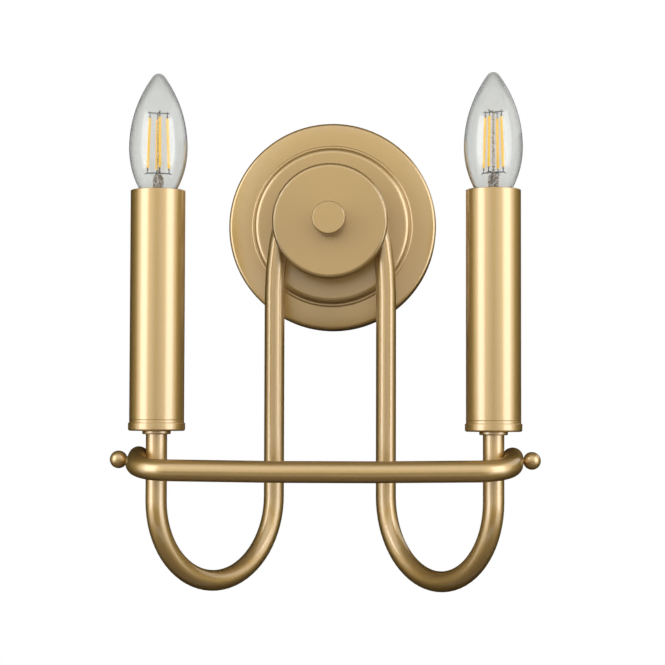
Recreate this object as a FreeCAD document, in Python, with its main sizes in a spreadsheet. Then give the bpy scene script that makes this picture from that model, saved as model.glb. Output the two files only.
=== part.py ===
import FreeCAD, Part

# Double arm wall sconce, built in millimetres.
# Origin: centre of the back of the wall canopy, in the plane of the wall.
# +Z is up, the front of the sconce looks along -Y, and +X is the viewer's right.

import math
import os
import re
import Sketcher

Vector = FreeCAD.Vector
Rotation = FreeCAD.Rotation

UP = Vector(0, 0, 1)
FRONT = Vector(0, -1, 0)
RIGHT = Vector(1, 0, 0)
SIDES = (("left", -1), ("right", 1))

# Driving dimensions: alias, value in millimetres (or degrees), what it measures.
SIZES = [
    ("canopy_r", 67.5, "radius of the round wall canopy"),
    ("canopy_depth", 22.0, "how far the canopy stands off the wall"),
    ("canopy_wall", 1.2, "sheet thickness of the canopy"),
    ("canopy_edge", 2.5, "rounding of the canopy's front edge"),
    ("step_r", 52.5, "radius of the step pressed into the canopy's face"),
    ("step_rise", 1.4, "height of that step"),
    ("tier_r", 50.8, "radius of the second tier"),
    ("tier_depth", 5.6, "depth of the second tier"),
    ("tier_wall", 1.4, "sheet thickness of the second tier"),
    ("tier_edge", 2.0, "rounding of the second tier's edge"),
    ("strap_length", 104.0, "length of the mounting strap"),
    ("strap_width", 16.0, "width of the mounting strap"),
    ("strap_depth", 2.0, "thickness of the mounting strap"),
    ("box_screw_spacing", 88.9, "distance between the two wall box screws"),
    ("slot_length", 13.0, "end to end length of each screw slot"),
    ("slot_width", 4.8, "width of each screw slot"),
    ("ground_screw_x", 24.0, "ground screw's distance from the centre"),
    ("ground_screw_r", 1.95, "radius of the ground screw's shank"),
    ("ground_head_r", 4.4, "radius of the ground screw's head"),
    ("ground_head_depth", 2.4, "height of the ground screw's head"),
    ("nipple_r", 4.85, "outer radius of the threaded centre tube"),
    ("nipple_wall", 1.5, "wall of the threaded centre tube"),
    ("nipple_inset", 0.4, "how far the centre tube stays off the wall"),
    ("strap_nut_r", 8.0, "corner radius of the hexagon nut behind the canopy"),
    ("strap_nut_depth", 3.0, "thickness of that nut"),
    ("hub_length", 27.0, "distance from the second tier to the front disc"),
    ("hub_boss_r", 9.4, "radius of the hub's middle boss"),
    ("hub_flange_r", 20.0, "radius of the hub's foot"),
    ("hub_flange_depth", 3.0, "thickness of the hub's foot"),
    ("hub_socket_r", 8.5, "outer radius of the hub's cross tube"),
    ("hub_socket_half", 10.5, "half the length of the hub's cross tube"),
    ("hub_socket_up", 16.0, "height of the cross tube above the centre"),
    ("wire_way_r", 4.6, "radius of the passage for the lamp leads"),
    ("grub_r", 2.0, "radius of the grub screws that hold the arms"),
    ("grub_length", 4.0, "length of a grub screw"),
    ("grub_x", 6.4, "grub screw's distance from the centre"),
    ("grub_boss_r", 4.0, "radius of the boss round a grub screw"),
    ("grub_boss_rise", 9.6, "height of that boss above the cross tube's axis"),
    ("disc_r", 36.7, "radius of the front disc"),
    ("disc_depth", 5.0, "thickness of the front disc"),
    ("disc_edge", 2.0, "rounding of the front disc's edge"),
    ("cap_r", 10.4, "radius of the cap nut"),
    ("cap_length", 19.0, "length of the cap nut"),
    ("cap_edge", 1.0, "rounding of the cap nut's edge"),
    ("cap_thread", 13.0, "depth of the cap nut's threaded hole"),
    ("tube_r", 6.35, "outer radius of the arm and hoop tube"),
    ("tube_wall", 1.2, "wall of the arm and hoop tube"),
    ("arm_disc_gap", 2.15, "gap between the arms and the back of the front disc"),
    ("arm_end_gap", 5.0, "half the gap between the arm ends inside the hub"),
    ("top_bend_r", 19.0, "centreline radius of the arm's bend into the hub"),
    ("lean_r", 200.0, "centreline radius of the arm's slight curve behind the disc"),
    ("lean_angle", 13.4, "turn of that slight curve, in degrees"),
    ("inner_leg_x", 35.5, "inner leg's distance from the middle plane"),
    ("outer_leg_x", 100.3, "outer leg's distance from the middle plane"),
    ("leg_reach", 76.9, "how far the outer leg stands in front of the inner leg"),
    ("hoop_below_cup", 17.1, "from the cups' undersides down to the ball screws"),
    ("bend_below_hoop", 24.5, "from the ball screws down to where the legs start to bend"),
    ("hoop_side_x", 111.5, "distance of the hoop's sides from the middle plane"),
    ("hoop_side_lean", 3.0, "how far the hoop's sides close in forwards, in degrees"),
    ("hoop_tail", 8.0, "length of the hoop behind the ball screws"),
    ("hoop_reach", 34.0, "from the ball screws to the middle of the hoop's front bar"),
    ("hoop_bow_r", 1130.0, "radius of the hoop's slightly bowed front bar"),
    ("hoop_corner_r", 22.0, "centreline radius of the hoop's corners"),
    ("hoop_tilt", 10.5, "how far the hoop's front dips, in degrees"),
    ("plug_depth", 5.0, "depth of the hoop's end plugs"),
    ("plug_rim", 1.0, "thickness of the part of a plug that shows"),
    ("ball_r", 5.3, "radius of the ball heads"),
    ("ball_x", 122.9, "distance of the ball heads from the middle plane"),
    ("ball_shank_r", 1.9, "radius of the ball screws' shanks"),
    ("insert_r", 3.2, "radius of the threaded insert in each outer leg"),
    ("insert_reach", 4.2, "how deep that insert reaches below the leg's outer side"),
    ("ring_r", 8.5, "radius of the ring under each candle cup"),
    ("ring_depth", 2.0, "height of that ring"),
    ("cup_drop", 132.3, "how far below the centre the candle cups stand"),
    ("cup_r", 17.0, "radius of a candle cup's lower band"),
    ("cup_band", 4.8, "height of that band"),
    ("cup_height", 6.5, "height of the cup up to the candle sleeve"),
    ("cup_wall", 1.5, "wall and floor of a candle cup"),
    ("spigot_height", 6.0, "how far the cup reaches up inside the sleeve"),
    ("cup_nut_r", 9.6, "corner radius of the hexagon nut inside the cup"),
    ("cup_nut_depth", 4.0, "thickness of that nut"),
    ("leg_stub", 8.5, "how far the outer leg reaches above the cup's underside"),
    ("sleeve_r", 16.35, "outer radius of the candle sleeve"),
    ("sleeve_wall", 1.15, "wall of the candle sleeve"),
    ("sleeve_length", 137.4, "length of the candle sleeve"),
    ("post_wall", 1.5, "thickness of the lamp holder's steel post"),
    ("post_width", 8.0, "width of the upright strip of that post"),
    ("post_reach", 11.0, "upright strip's distance from the candle's axis"),
    ("holder_r", 10.6, "outer radius of the lamp holder"),
    ("holder_inset", 9.6, "how far the lamp holder's mouth is below the sleeve's top"),
    ("holder_length", 23.0, "length of the lamp holder"),
    ("holder_floor", 7.0, "thickness of the lamp holder's floor"),
    ("shell_wall", 0.5, "thickness of the screw shell"),
    ("shell_rise", 1.5, "gap between the screw shell and the lamp holder's floor"),
    ("contact_r", 2.6, "radius of the centre contact"),
    ("base_r", 5.85, "radius of the bulb's screw base"),
    ("base_length", 13.0, "length of the bulb's screw base"),
    ("base_collar", 1.5, "height of the base's collar"),
    ("base_tip", 3.2, "height of the insulator below the screw base"),
    ("base_tip_r", 2.2, "radius of the tip contact"),
    ("bulb_inset", 6.6, "how far the glass starts below the sleeve's top"),
    ("bulb_neck_r", 6.6, "radius of the bulb's neck"),
    ("bulb_r", 17.5, "largest radius of the candle bulb"),
    ("bulb_belly", 32.1, "height of that largest radius above the neck"),
    ("bulb_height", 77.2, "height of the glass"),
    ("bulb_nose_r", 4.3, "radius of the bulb's rounded tip"),
    ("glass_wall", 0.8, "thickness of the bulb's glass"),
    ("stem_r", 3.3, "radius of the glass stem inside the bulb"),
    ("stem_height", 16.0, "height of the glass stem"),
    ("stem_rod_r", 0.7, "radius of the glass rod on top of the stem"),
    ("stem_rod_top", 53.8, "height of the rod's end above the neck"),
    ("filament_r", 0.8, "radius of a filament"),
    ("filament_low", 20.0, "height of the filaments' lower ends above the neck"),
    ("filament_high", 50.2, "height of the filaments' upper ends above the neck"),
    ("filament_low_reach", 6.4, "lower ends' distance from the bulb's axis"),
    ("filament_high_reach", 5.3, "upper ends' distance from the bulb's axis"),
    ("filament_turn_left", 16.0, "turn of the left bulb's filaments about its axis, in degrees"),
    ("filament_turn_right", 62.0, "turn of the right bulb's filaments about its axis, in degrees"),
    ("bulb_wire_r", 0.3, "radius of the wires that hold the filaments"),
    ("lead_r", 1.8, "radius of a lamp lead"),
    ("lead_bend_r", 6.0, "radius of a lead's bends behind the hub"),
    ("lead_gap", 2.3, "leads' distance from the middle plane in the hub"),
    ("lead_front", 12.0, "leads' distance from the wall inside the canopy"),
    ("connector_r", 5.5, "radius of a wire connector's skirt"),
    ("connector_tip_r", 3.0, "radius of a wire connector's tip"),
    ("connector_length", 20.0, "length of a wire connector"),
    ("connector_x", 14.0, "where a wire connector starts, from the middle plane"),
    ("connector_bore", 9.0, "how far a lead's end reaches into its wire connector"),
    ("fit_gap", 0.05, "radial clearance of close fits"),
]

doc = FreeCAD.newDocument("double_arm_wall_sconce")
sheet = doc.addObject("Spreadsheet::Sheet", "Sizes")
for row, (alias, amount, meaning) in enumerate(SIZES, start=1):
    sheet.set("A%d" % row, alias)
    sheet.set("B%d" % row, str(amount))
    sheet.set("C%d" % row, meaning)
    sheet.setAlias("B%d" % row, alias)
doc.recompute()

ALIASES = {alias for alias, amount, meaning in SIZES}
subparts = []


def bound(text):
    """The expression text with each size read from the sheet."""
    return re.sub(r"[a-z_]+", lambda word: "Sizes." + word[0] if word[0] in ALIASES else word[0], text)


def size(text):
    """The value of an expression in the sheet's sizes."""
    return float(sheet.evalExpression(bound(text)))


# Places that several pieces share, as expressions in the sheet's sizes.
STEP_FACE = "(canopy_depth + step_rise)"
TIER_FACE = "(canopy_depth + step_rise + tier_depth)"
DISC_BACK = "(canopy_depth + step_rise + tier_depth + hub_length)"
DISC_FACE = "(canopy_depth + step_rise + tier_depth + hub_length + disc_depth)"
INNER_LEG_FRONT = "(canopy_depth + step_rise + tier_depth + hub_length - arm_disc_gap - tube_r)"
OUTER_LEG_FRONT = ("(canopy_depth + step_rise + tier_depth + hub_length - arm_disc_gap - tube_r"
                   " + leg_reach)")
HOOP_DROP = "(cup_drop + hoop_below_cup)"
BEND_DROP = "(cup_drop + hoop_below_cup + bend_below_hoop)"
SLEEVE_TOP = "(cup_height + sleeve_length)"
BULB_NECK = "(cup_height + sleeve_length - bulb_inset)"
HOLDER_TOP = "(cup_height + sleeve_length - holder_inset)"
BASE_SEAT = "(cup_height + sleeve_length - bulb_inset - base_length)"


def subpart(item, label):
    """Names a finished piece and puts it on the list of pieces to write."""
    item.Label = label
    subparts.append(item)
    return item


def place(item, base, axis=UP):
    """Turns an object's local Z to an axis and ties its place to the sheet."""
    turn = Rotation(RIGHT, 90) if axis == FRONT else Rotation(UP, axis)
    item.Placement = FreeCAD.Placement(Vector(), turn)
    for letter, text in zip("xyz", base):
        item.setExpression(".Placement.Base.%s" % letter, bound(text))
    return item


def cylinder(radius, height, base, axis=UP):
    item = doc.addObject("Part::Cylinder", "Cylinder")
    item.setExpression("Radius", bound(radius))
    item.setExpression("Height", bound(height))
    return place(item, base, axis)


def block(length, width, height, base):
    item = doc.addObject("Part::Box", "Box")
    item.setExpression("Length", bound(length))
    item.setExpression("Width", bound(width))
    item.setExpression("Height", bound(height))
    return place(item, base)


def hexagon(corner_radius, height, base, axis=UP):
    item = doc.addObject("Part::Prism", "Prism")
    item.Polygon = 6
    item.setExpression("Circumradius", bound(corner_radius))
    item.setExpression("Height", bound(height))
    return place(item, base, axis)


def fuse(items):
    joined = doc.addObject("Part::MultiFuse", "Fuse")
    joined.Shapes = items
    joined.Refine = True
    return joined


def cut(item, tool):
    rest = doc.addObject("Part::Cut", "Cut")
    rest.Base = item
    rest.Tool = tool
    return rest


def group(items):
    """Separate solids that share one name, such as a pair of screws."""
    together = doc.addObject("Part::Compound", "Group")
    together.Links = items
    return together


def origin_plane(body, role):
    return next(plane for plane in body.Origin.OriginFeatures if plane.Role == role)


def arc_between(start, end, radius):
    """The arc from start to end; a positive radius turns to the left, a negative one to the right."""
    chord = end - start
    middle = (start + end) * 0.5
    left = Vector(-chord.y, chord.x, 0).normalize()
    height = math.sqrt(max(radius * radius - chord.Length ** 2 / 4, 0.0))
    centre = middle + left * (height if radius > 0 else -height)
    first, last = (start, end) if radius > 0 else (end, start)
    angles = [math.atan2(point.y - centre.y, point.x - centre.x) for point in (first, last)]
    if angles[1] <= angles[0]:
        angles[1] += 2 * math.pi
    return Part.ArcOfCircle(Part.Circle(centre, UP, abs(radius)), angles[0], angles[1])


def outline(body, role, corners):
    """A closed sketch through corners, each (across, along) or (across, along, radius of the
    arc that leads to the next corner), with every corner and radius tied to the sheet."""
    sketch = body.newObject("Sketcher::SketchObject", "Outline")
    sketch.AttachmentSupport = (origin_plane(body, role), [""])
    sketch.MapMode = "FlatFace"
    points = [Vector(size(corner[0]), size(corner[1]), 0) for corner in corners]
    ends = []
    for number, corner in enumerate(corners):
        start, end = points[number], points[(number + 1) % len(points)]
        radius = size(corner[2]) if len(corner) > 2 else 0
        edge = arc_between(start, end, radius) if radius else Part.LineSegment(start, end)
        sketch.addGeometry(edge, False)
        ends.append((1, 2) if radius >= 0 else (2, 1))
    for number, corner in enumerate(corners):
        following = (number + 1) % len(corners)
        sketch.addConstraint(Sketcher.Constraint(
            "Coincident", number, ends[number][1], following, ends[following][0]))
        vertex = ends[number][0]
        for kind, text, axis in (("DistanceX", corner[0], -2), ("DistanceY", corner[1], -1)):
            if text == "0":
                sketch.addConstraint(Sketcher.Constraint("PointOnObject", number, vertex, axis))
            else:
                datum = Sketcher.Constraint(kind, -1, 1, number, vertex, size(text))
                sketch.setExpression("Constraints[%d]" % sketch.addConstraint(datum), bound(text))
        if len(corner) > 2:
            datum = Sketcher.Constraint("Radius", number, abs(size(corner[2])))
            text = bound(corner[2].lstrip("-"))
            sketch.setExpression("Constraints[%d]" % sketch.addConstraint(datum), text)
    return sketch


def turned(label, base, axis, corners):
    """A turned piece: its profile (radius, height along the axis) revolved once."""
    body = doc.addObject("PartDesign::Body", "Body")
    profile = outline(body, "XZ_Plane", corners)
    revolution = body.newObject("PartDesign::Revolution", "Revolution")
    revolution.Profile = profile
    revolution.ReferenceAxis = (profile, ["V_Axis"])
    revolution.Angle = 360
    profile.Visibility = False
    place(body, base, axis)
    return subpart(body, label)


def round_hole(body, across, along, radius):
    """Bores a round hole through a body, parallel to its axis."""
    sketch = body.newObject("Sketcher::SketchObject", "HoleOutline")
    sketch.AttachmentSupport = (origin_plane(body, "XY_Plane"), [""])
    sketch.MapMode = "FlatFace"
    centre = Vector(size(across), size(along), 0)
    sketch.addGeometry(Part.Circle(centre, UP, size(radius)), False)
    for kind, text, axis in (("DistanceX", across, -2), ("DistanceY", along, -1)):
        if text == "0":
            sketch.addConstraint(Sketcher.Constraint("PointOnObject", 0, 3, axis))
        else:
            datum = Sketcher.Constraint(kind, -1, 1, 0, 3, size(text))
            sketch.setExpression("Constraints[%d]" % sketch.addConstraint(datum), bound(text))
    datum = Sketcher.Constraint("Radius", 0, size(radius))
    sketch.setExpression("Constraints[%d]" % sketch.addConstraint(datum), bound(radius))
    pocket = body.newObject("PartDesign::Pocket", "Hole")
    pocket.Profile = sketch
    pocket.Type = "ThroughAll"
    pocket.Midplane = True
    return pocket


def pipe(path, radius, bore=0.0):
    """A round tube or rod along a smooth path of lines and arcs."""
    start, heading = path.Edges[0].valueAt(path.Edges[0].FirstParameter), path_heading(path)
    ring = Part.Face(Part.Wire([Part.makeCircle(radius, start, heading)]))
    if bore:
        ring = ring.cut(Part.Face(Part.Wire([Part.makeCircle(bore, start, heading)]))).Faces[0]
    solid = path.makePipe(ring)
    return solid.Solids[0]


def path_heading(path):
    first = path.Edges[0]
    return first.tangentAt(first.FirstParameter)


def feature(label, shape):
    """A piece whose shape follows a bent path, with its sizes read from the sheet."""
    item = doc.addObject("Part::Feature", "Piece")
    item.Shape = shape
    item.Placement = FreeCAD.Placement(Vector(), Rotation())
    return subpart(item, label)


# ---------------------------------------------------------------- wall plate and its fixings

def mounting_strap():
    """The steel strap that two screws hold to the wall box, with a slot near each end."""
    strap = block("strap_length", "strap_depth", "strap_width",
                  ("-strap_length / 2", "-strap_depth", "-strap_width / 2"))
    holes = [
        cylinder("nipple_r + fit_gap", "strap_depth", ("0", "0", "0"), FRONT),
        cylinder("ground_screw_r + fit_gap", "strap_depth", ("-ground_screw_x", "0", "0"), FRONT),
    ]
    for side in ("-", "+"):
        middle = "0 %s box_screw_spacing / 2" % side
        holes.append(block("slot_length - slot_width", "strap_depth", "slot_width",
                           (middle + " - (slot_length - slot_width) / 2",
                            "-strap_depth", "-slot_width / 2")))
        for end in ("-", "+"):
            slot_end = middle + " %s (slot_length - slot_width) / 2" % end
            holes.append(cylinder("slot_width / 2", "strap_depth", (slot_end, "0", "0"), FRONT))
    subpart(cut(strap, fuse(holes)), "mounting_strap")


def ground_screw():
    turned("ground_screw", ("-ground_screw_x", "0", "0"), FRONT, [
        ("0", "nipple_inset"),
        ("ground_screw_r", "nipple_inset"),
        ("ground_screw_r", "strap_depth"),
        ("ground_head_r", "strap_depth"),
        ("ground_head_r", "strap_depth + ground_head_depth / 2"),
        ("ground_head_r - ground_head_depth / 2", "strap_depth + ground_head_depth"),
        ("0", "strap_depth + ground_head_depth"),
    ])


def strap_nut():
    nut = hexagon("strap_nut_r", "strap_nut_depth", ("0", "-strap_depth", "0"), FRONT)
    thread = cylinder("nipple_r + fit_gap", "strap_nut_depth", ("0", "-strap_depth", "0"), FRONT)
    subpart(cut(nut, thread), "strap_nut")


def centre_nipple():
    """The threaded tube from the strap to the cap nut, which clamps the whole stack."""
    far_end = DISC_FACE + " + cap_thread - 1"
    turned("centre_nipple", ("0", "0", "0"), FRONT, [
        ("nipple_r - nipple_wall", "nipple_inset"),
        ("nipple_r", "nipple_inset"),
        ("nipple_r", far_end),
        ("nipple_r - nipple_wall", far_end),
    ])


def canopy():
    """The round pan against the wall, with a low step in its face."""
    inner_edge = "canopy_edge - canopy_wall"
    body = turned("canopy", ("0", "0", "0"), FRONT, [
        ("canopy_r - canopy_wall", "0"),
        ("canopy_r", "0"),
        ("canopy_r", "canopy_depth - canopy_edge", "canopy_edge"),
        ("canopy_r - canopy_edge", "canopy_depth"),
        ("step_r", "canopy_depth"),
        ("step_r", "canopy_depth + step_rise"),
        ("nipple_r + fit_gap", "canopy_depth + step_rise"),
        ("nipple_r + fit_gap", "canopy_depth + step_rise - canopy_wall"),
        ("step_r - canopy_wall", "canopy_depth + step_rise - canopy_wall"),
        ("step_r - canopy_wall", "canopy_depth - canopy_wall"),
        ("canopy_r - canopy_edge", "canopy_depth - canopy_wall", "-(" + inner_edge + ")"),
        ("canopy_r - canopy_wall", "canopy_depth - canopy_edge"),
    ])
    round_hole(body, "0", "hub_socket_up", "wire_way_r")


def tier_plate():
    """The second, smaller pan on the canopy's face."""
    body = turned("tier_plate", ("0", "0", "0"), FRONT, [
        ("tier_r - tier_wall", STEP_FACE),
        ("tier_r", STEP_FACE),
        ("tier_r", TIER_FACE + " - tier_edge", "tier_edge"),
        ("tier_r - tier_edge", TIER_FACE),
        ("nipple_r + fit_gap", TIER_FACE),
        ("nipple_r + fit_gap", TIER_FACE + " - tier_wall"),
        ("tier_r - tier_edge", TIER_FACE + " - tier_wall", "-(tier_edge - tier_wall)"),
        ("tier_r - tier_wall", TIER_FACE + " - tier_edge"),
    ])
    round_hole(body, "0", "hub_socket_up", "wire_way_r")


# ---------------------------------------------------------------- hub and front disc

def hub_block():
    """The casting behind the front disc: a boss on the centre tube and a cross tube that
    takes the upper ends of both arms."""
    face = "-" + TIER_FACE
    axis_front = "-" + INNER_LEG_FRONT
    duct_length = INNER_LEG_FRONT + " - " + TIER_FACE
    solid = fuse([
        cylinder("hub_flange_r", "hub_flange_depth", ("0", face, "0"), FRONT),
        cylinder("hub_boss_r", "hub_length", ("0", face, "0"), FRONT),
        cylinder("hub_socket_r", duct_length, ("0", face, "hub_socket_up"), FRONT),
        cylinder("hub_socket_r", "2 * hub_socket_half",
                 ("-hub_socket_half", axis_front, "hub_socket_up"), RIGHT),
        cylinder("grub_boss_r", "grub_boss_rise", ("-grub_x", axis_front, "hub_socket_up")),
        cylinder("grub_boss_r", "grub_boss_rise", ("grub_x", axis_front, "hub_socket_up")),
    ])
    openings = fuse([
        cylinder("nipple_r + fit_gap", "hub_length", ("0", face, "0"), FRONT),
        cylinder("wire_way_r", duct_length, ("0", face, "hub_socket_up"), FRONT),
        cylinder("tube_r + fit_gap", "2 * hub_socket_half",
                 ("-hub_socket_half", axis_front, "hub_socket_up"), RIGHT),
        cylinder("grub_r + fit_gap", "grub_boss_rise", ("-grub_x", axis_front, "hub_socket_up")),
        cylinder("grub_r + fit_gap", "grub_boss_rise", ("grub_x", axis_front, "hub_socket_up")),
    ])
    subpart(cut(solid, openings), "hub_block")


def hub_grub_screws():
    """The two grub screws that bear on the arms' ends."""
    screws = []
    for side in ("-", ""):
        foot = (side + "grub_x", "-" + INNER_LEG_FRONT, "hub_socket_up + tube_r + fit_gap")
        key_way = (foot[0], foot[1], foot[2] + " + grub_length / 2")
        screws.append(cut(cylinder("grub_r", "grub_length", foot),
                          hexagon("grub_r / 2", "grub_length / 2", key_way)))
    subpart(group(screws), "hub_grub_screws")


def front_disc():
    turned("front_disc", ("0", "0", "0"), FRONT, [
        ("nipple_r + fit_gap", DISC_BACK),
        ("disc_r", DISC_BACK),
        ("disc_r", DISC_FACE + " - disc_edge", "disc_edge"),
        ("disc_r - disc_edge", DISC_FACE),
        ("nipple_r + fit_gap", DISC_FACE),
    ])


def cap_nut():
    """The round nut in the middle of the disc, with a blind thread."""
    turned("cap_nut", ("0", "0", "0"), FRONT, [
        ("nipple_r + fit_gap", DISC_FACE),
        ("cap_r", DISC_FACE),
        ("cap_r", DISC_FACE + " + cap_length - cap_edge", "cap_edge"),
        ("cap_r - cap_edge", DISC_FACE + " + cap_length"),
        ("0", DISC_FACE + " + cap_length"),
        ("0", DISC_FACE + " + cap_thread"),
        ("nipple_r + fit_gap", DISC_FACE + " + cap_thread"),
    ])


# ---------------------------------------------------------------- arms

def arm_points(side):
    """Corners and arc middles of an arm's centreline, from the hub to the candle cup."""
    lean = math.radians(size("lean_angle"))
    lean_r, top_r = size("lean_r"), size("top_bend_r")
    inner_x, front = size("inner_leg_x"), size(INNER_LEG_FRONT)
    outer_x, outer_front = size("outer_leg_x"), size(OUTER_LEG_FRONT)
    entry_z = size("hub_socket_up")
    spring_z = -size(BEND_DROP)

    def at(x, y, z):
        return Vector(side * x, -y, z)

    lean_end_x = inner_x - lean_r * (1 - math.cos(lean))
    lean_end_z = entry_z - top_r * (1 - math.sin(lean))
    lean_start_z = lean_end_z - lean_r * math.sin(lean)
    top_x = lean_end_x - top_r * math.cos(lean)
    top_middle = (math.pi / 2 + lean) / 2
    top_centre_z = entry_z - top_r
    u_radius = math.hypot(outer_x - inner_x, outer_front - front) / 2
    return {
        "hub_end": at(size("arm_end_gap"), front, entry_z),
        "top_start": at(top_x, front, entry_z),
        "top_middle": at(top_x + top_r * math.cos(top_middle), front,
                         top_centre_z + top_r * math.sin(top_middle)),
        "top_end": at(lean_end_x, front, lean_end_z),
        "lean_middle": at(inner_x - lean_r * (1 - math.cos(lean / 2)), front,
                          lean_start_z + lean_r * math.sin(lean / 2)),
        "lean_end": at(inner_x, front, lean_start_z),
        "inner_spring": at(inner_x, front, spring_z),
        "u_bottom": at((inner_x + outer_x) / 2, (front + outer_front) / 2, spring_z - u_radius),
        "outer_spring": at(outer_x, outer_front, spring_z),
        "cup_end": at(outer_x, outer_front, -size("cup_drop") + size("leg_stub")),
    }


def arm_edges(points):
    return [
        Part.LineSegment(points["hub_end"], points["top_start"]).toShape(),
        Part.Arc(points["top_start"], points["top_middle"], points["top_end"]).toShape(),
        Part.Arc(points["top_end"], points["lean_middle"], points["lean_end"]).toShape(),
        Part.LineSegment(points["lean_end"], points["inner_spring"]).toShape(),
        Part.Arc(points["inner_spring"], points["u_bottom"], points["outer_spring"]).toShape(),
        Part.LineSegment(points["outer_spring"], points["cup_end"]).toShape(),
    ]


def arm(name, side):
    """One bent tube: from the hub down behind the disc, round the U and up to the candle cup."""
    radius = size("tube_r")
    tube = pipe(Part.Wire(arm_edges(arm_points(side))), radius, radius - size("tube_wall"))
    insert_hole = Part.makeCylinder(
        size("insert_r") + size("fit_gap"), 2 * radius,
        Vector(side * size("outer_leg_x"), -size(OUTER_LEG_FRONT), -size(HOOP_DROP)), RIGHT * side)
    feature("arm_" + name, tube.cut(insert_hole).Solids[0])


def lead(name, side):
    """A lamp lead: out of the canopy, through the hub and the whole arm, up to the lamp holder."""
    points = arm_points(side)
    bend = size("lead_bend_r")
    gap, up = size("lead_gap"), size("hub_socket_up")
    arm_front, wall_front = size(INNER_LEG_FRONT), size("lead_front")
    quarter = bend * (1 - math.sqrt(0.5))
    lead_end = size("connector_x + connector_bore - fit_gap")

    def at(x, y):
        return Vector(side * x, -y, up)

    canopy_turn = [at(gap + bend, wall_front), at(gap + quarter, wall_front + quarter),
                   at(gap, wall_front + bend)]
    hub_turn = [at(gap, arm_front - bend), at(gap + quarter, arm_front - quarter),
                at(gap + bend, arm_front)]
    holder_end = Vector(points["cup_end"])
    holder_end.z = -size("cup_drop") + size(HOLDER_TOP + " - holder_length + holder_floor / 2")
    edges = [
        Part.LineSegment(at(lead_end, wall_front), canopy_turn[0]).toShape(),
        Part.Arc(*canopy_turn).toShape(),
        Part.LineSegment(canopy_turn[2], hub_turn[0]).toShape(),
        Part.Arc(*hub_turn).toShape(),
        Part.LineSegment(hub_turn[2], points["top_start"]).toShape(),
    ]
    edges += arm_edges(points)[1:-1]
    edges.append(Part.LineSegment(points["outer_spring"], holder_end).toShape())
    path = Part.Wire(edges)
    feature("lead_" + name, pipe(path, size("lead_r")))


def wire_connectors():
    """The two screw-on wire connectors inside the canopy, one on each lead's end."""
    caps = []
    for side in (-1, 1):
        start = Vector(side * size("connector_x"), -size("lead_front"), size("hub_socket_up"))
        cap = Part.makeCone(size("connector_r"), size("connector_tip_r"),
                            size("connector_length"), start, RIGHT * side)
        mouth = Part.makeCylinder(size("lead_r") + size("fit_gap"), size("connector_bore"),
                                  start, RIGHT * side)
        caps.append(cap.cut(mouth).Solids[0])
    feature("wire_connectors", Part.makeCompound(caps))


# ---------------------------------------------------------------- hoop

def hoop_frame():
    """The hoop's own frame: x across, y backwards, tilted so that the front dips."""
    centre = Vector(0, -size(OUTER_LEG_FRONT), -size(HOOP_DROP))
    return FreeCAD.Placement(centre, Rotation(RIGHT, size("hoop_tilt")))


def hoop_points():
    """The right half of the hoop's centreline in its own flat frame, from the rear end."""
    lean = math.radians(size("hoop_side_lean"))
    bow_r, corner_r = size("hoop_bow_r"), size("hoop_corner_r")
    side_point = Vector(size("hoop_side_x"), 0, 0)
    forward = Vector(-math.sin(lean), -math.cos(lean), 0)
    inward = Vector(-math.cos(lean), math.sin(lean), 0)
    bow_centre = Vector(0, bow_r - size("hoop_reach"), 0)
    # The corner's centre lies one corner radius inside both the side and the bowed bar.
    offset = side_point + inward * corner_r - bow_centre
    along = offset.dot(forward)
    run = -along + math.sqrt(along ** 2 - offset.dot(offset) + (bow_r - corner_r) ** 2)
    corner_centre = side_point + inward * corner_r + forward * run
    outward = Vector(corner_centre - bow_centre).normalize()
    side_end = side_point + forward * run
    bar_end = bow_centre + outward * bow_r
    corner_middle = corner_centre + Vector(outward - inward).normalize() * corner_r
    rear = side_point - forward * size("hoop_tail")
    return rear, side_end, corner_middle, bar_end, Vector(0, -size("hoop_reach"), 0), forward


def hoop():
    """The bowed hoop in front of all four legs, notched where its sides sit on the outer legs."""
    rear, side_end, corner_middle, bar_end, bar_middle, forward = hoop_points()

    def mirrored(point):
        return Vector(-point.x, point.y, 0)

    path = Part.Wire([
        Part.LineSegment(rear, side_end).toShape(),
        Part.Arc(side_end, corner_middle, bar_end).toShape(),
        Part.Arc(bar_end, bar_middle, mirrored(bar_end)).toShape(),
        Part.Arc(mirrored(bar_end), mirrored(corner_middle), mirrored(side_end)).toShape(),
        Part.LineSegment(mirrored(side_end), mirrored(rear)).toShape(),
    ])
    radius = size("tube_r")
    tube = pipe(path, radius, radius - size("tube_wall"))
    tube.Placement = hoop_frame()
    notch_height = 6 * radius
    front, drop = size(OUTER_LEG_FRONT), size(HOOP_DROP)
    for name, side in SIDES:
        leg_axis = Vector(side * size("outer_leg_x"), -front, -drop - notch_height / 2)
        tube = tube.cut(Part.makeCylinder(radius + size("fit_gap"), notch_height, leg_axis, UP))
        screw_start = Vector(side * size("outer_leg_x"), -front, -drop)
        reach = size("ball_x") - size("outer_leg_x")
        tube = tube.cut(Part.makeCylinder(size("ball_shank_r") + size("fit_gap"), reach,
                                          screw_start, RIGHT * side))
    feature("hoop", max(tube.Solids, key=lambda solid: solid.Volume))


def hoop_end_plugs():
    """The plugs that close the hoop's two rear ends."""
    rear, side_end, corner_middle, bar_end, bar_middle, forward = hoop_points()
    radius = size("tube_r")
    bore = radius - size("tube_wall") - size("fit_gap")
    plugs = []
    for side in (-1, 1):
        start = Vector(side * rear.x, rear.y, 0)
        heading = Vector(side * forward.x, forward.y, 0)
        shank = Part.makeCylinder(bore, size("plug_depth"), start, heading)
        rim = Part.makeCylinder(radius, size("plug_rim"), start, heading * -1)
        plugs.append(shank.fuse(rim).removeSplitter().Solids[0])
    feature("hoop_end_plugs", Part.makeCompound(plugs).transformed(hoop_frame().toMatrix(), True))


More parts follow.
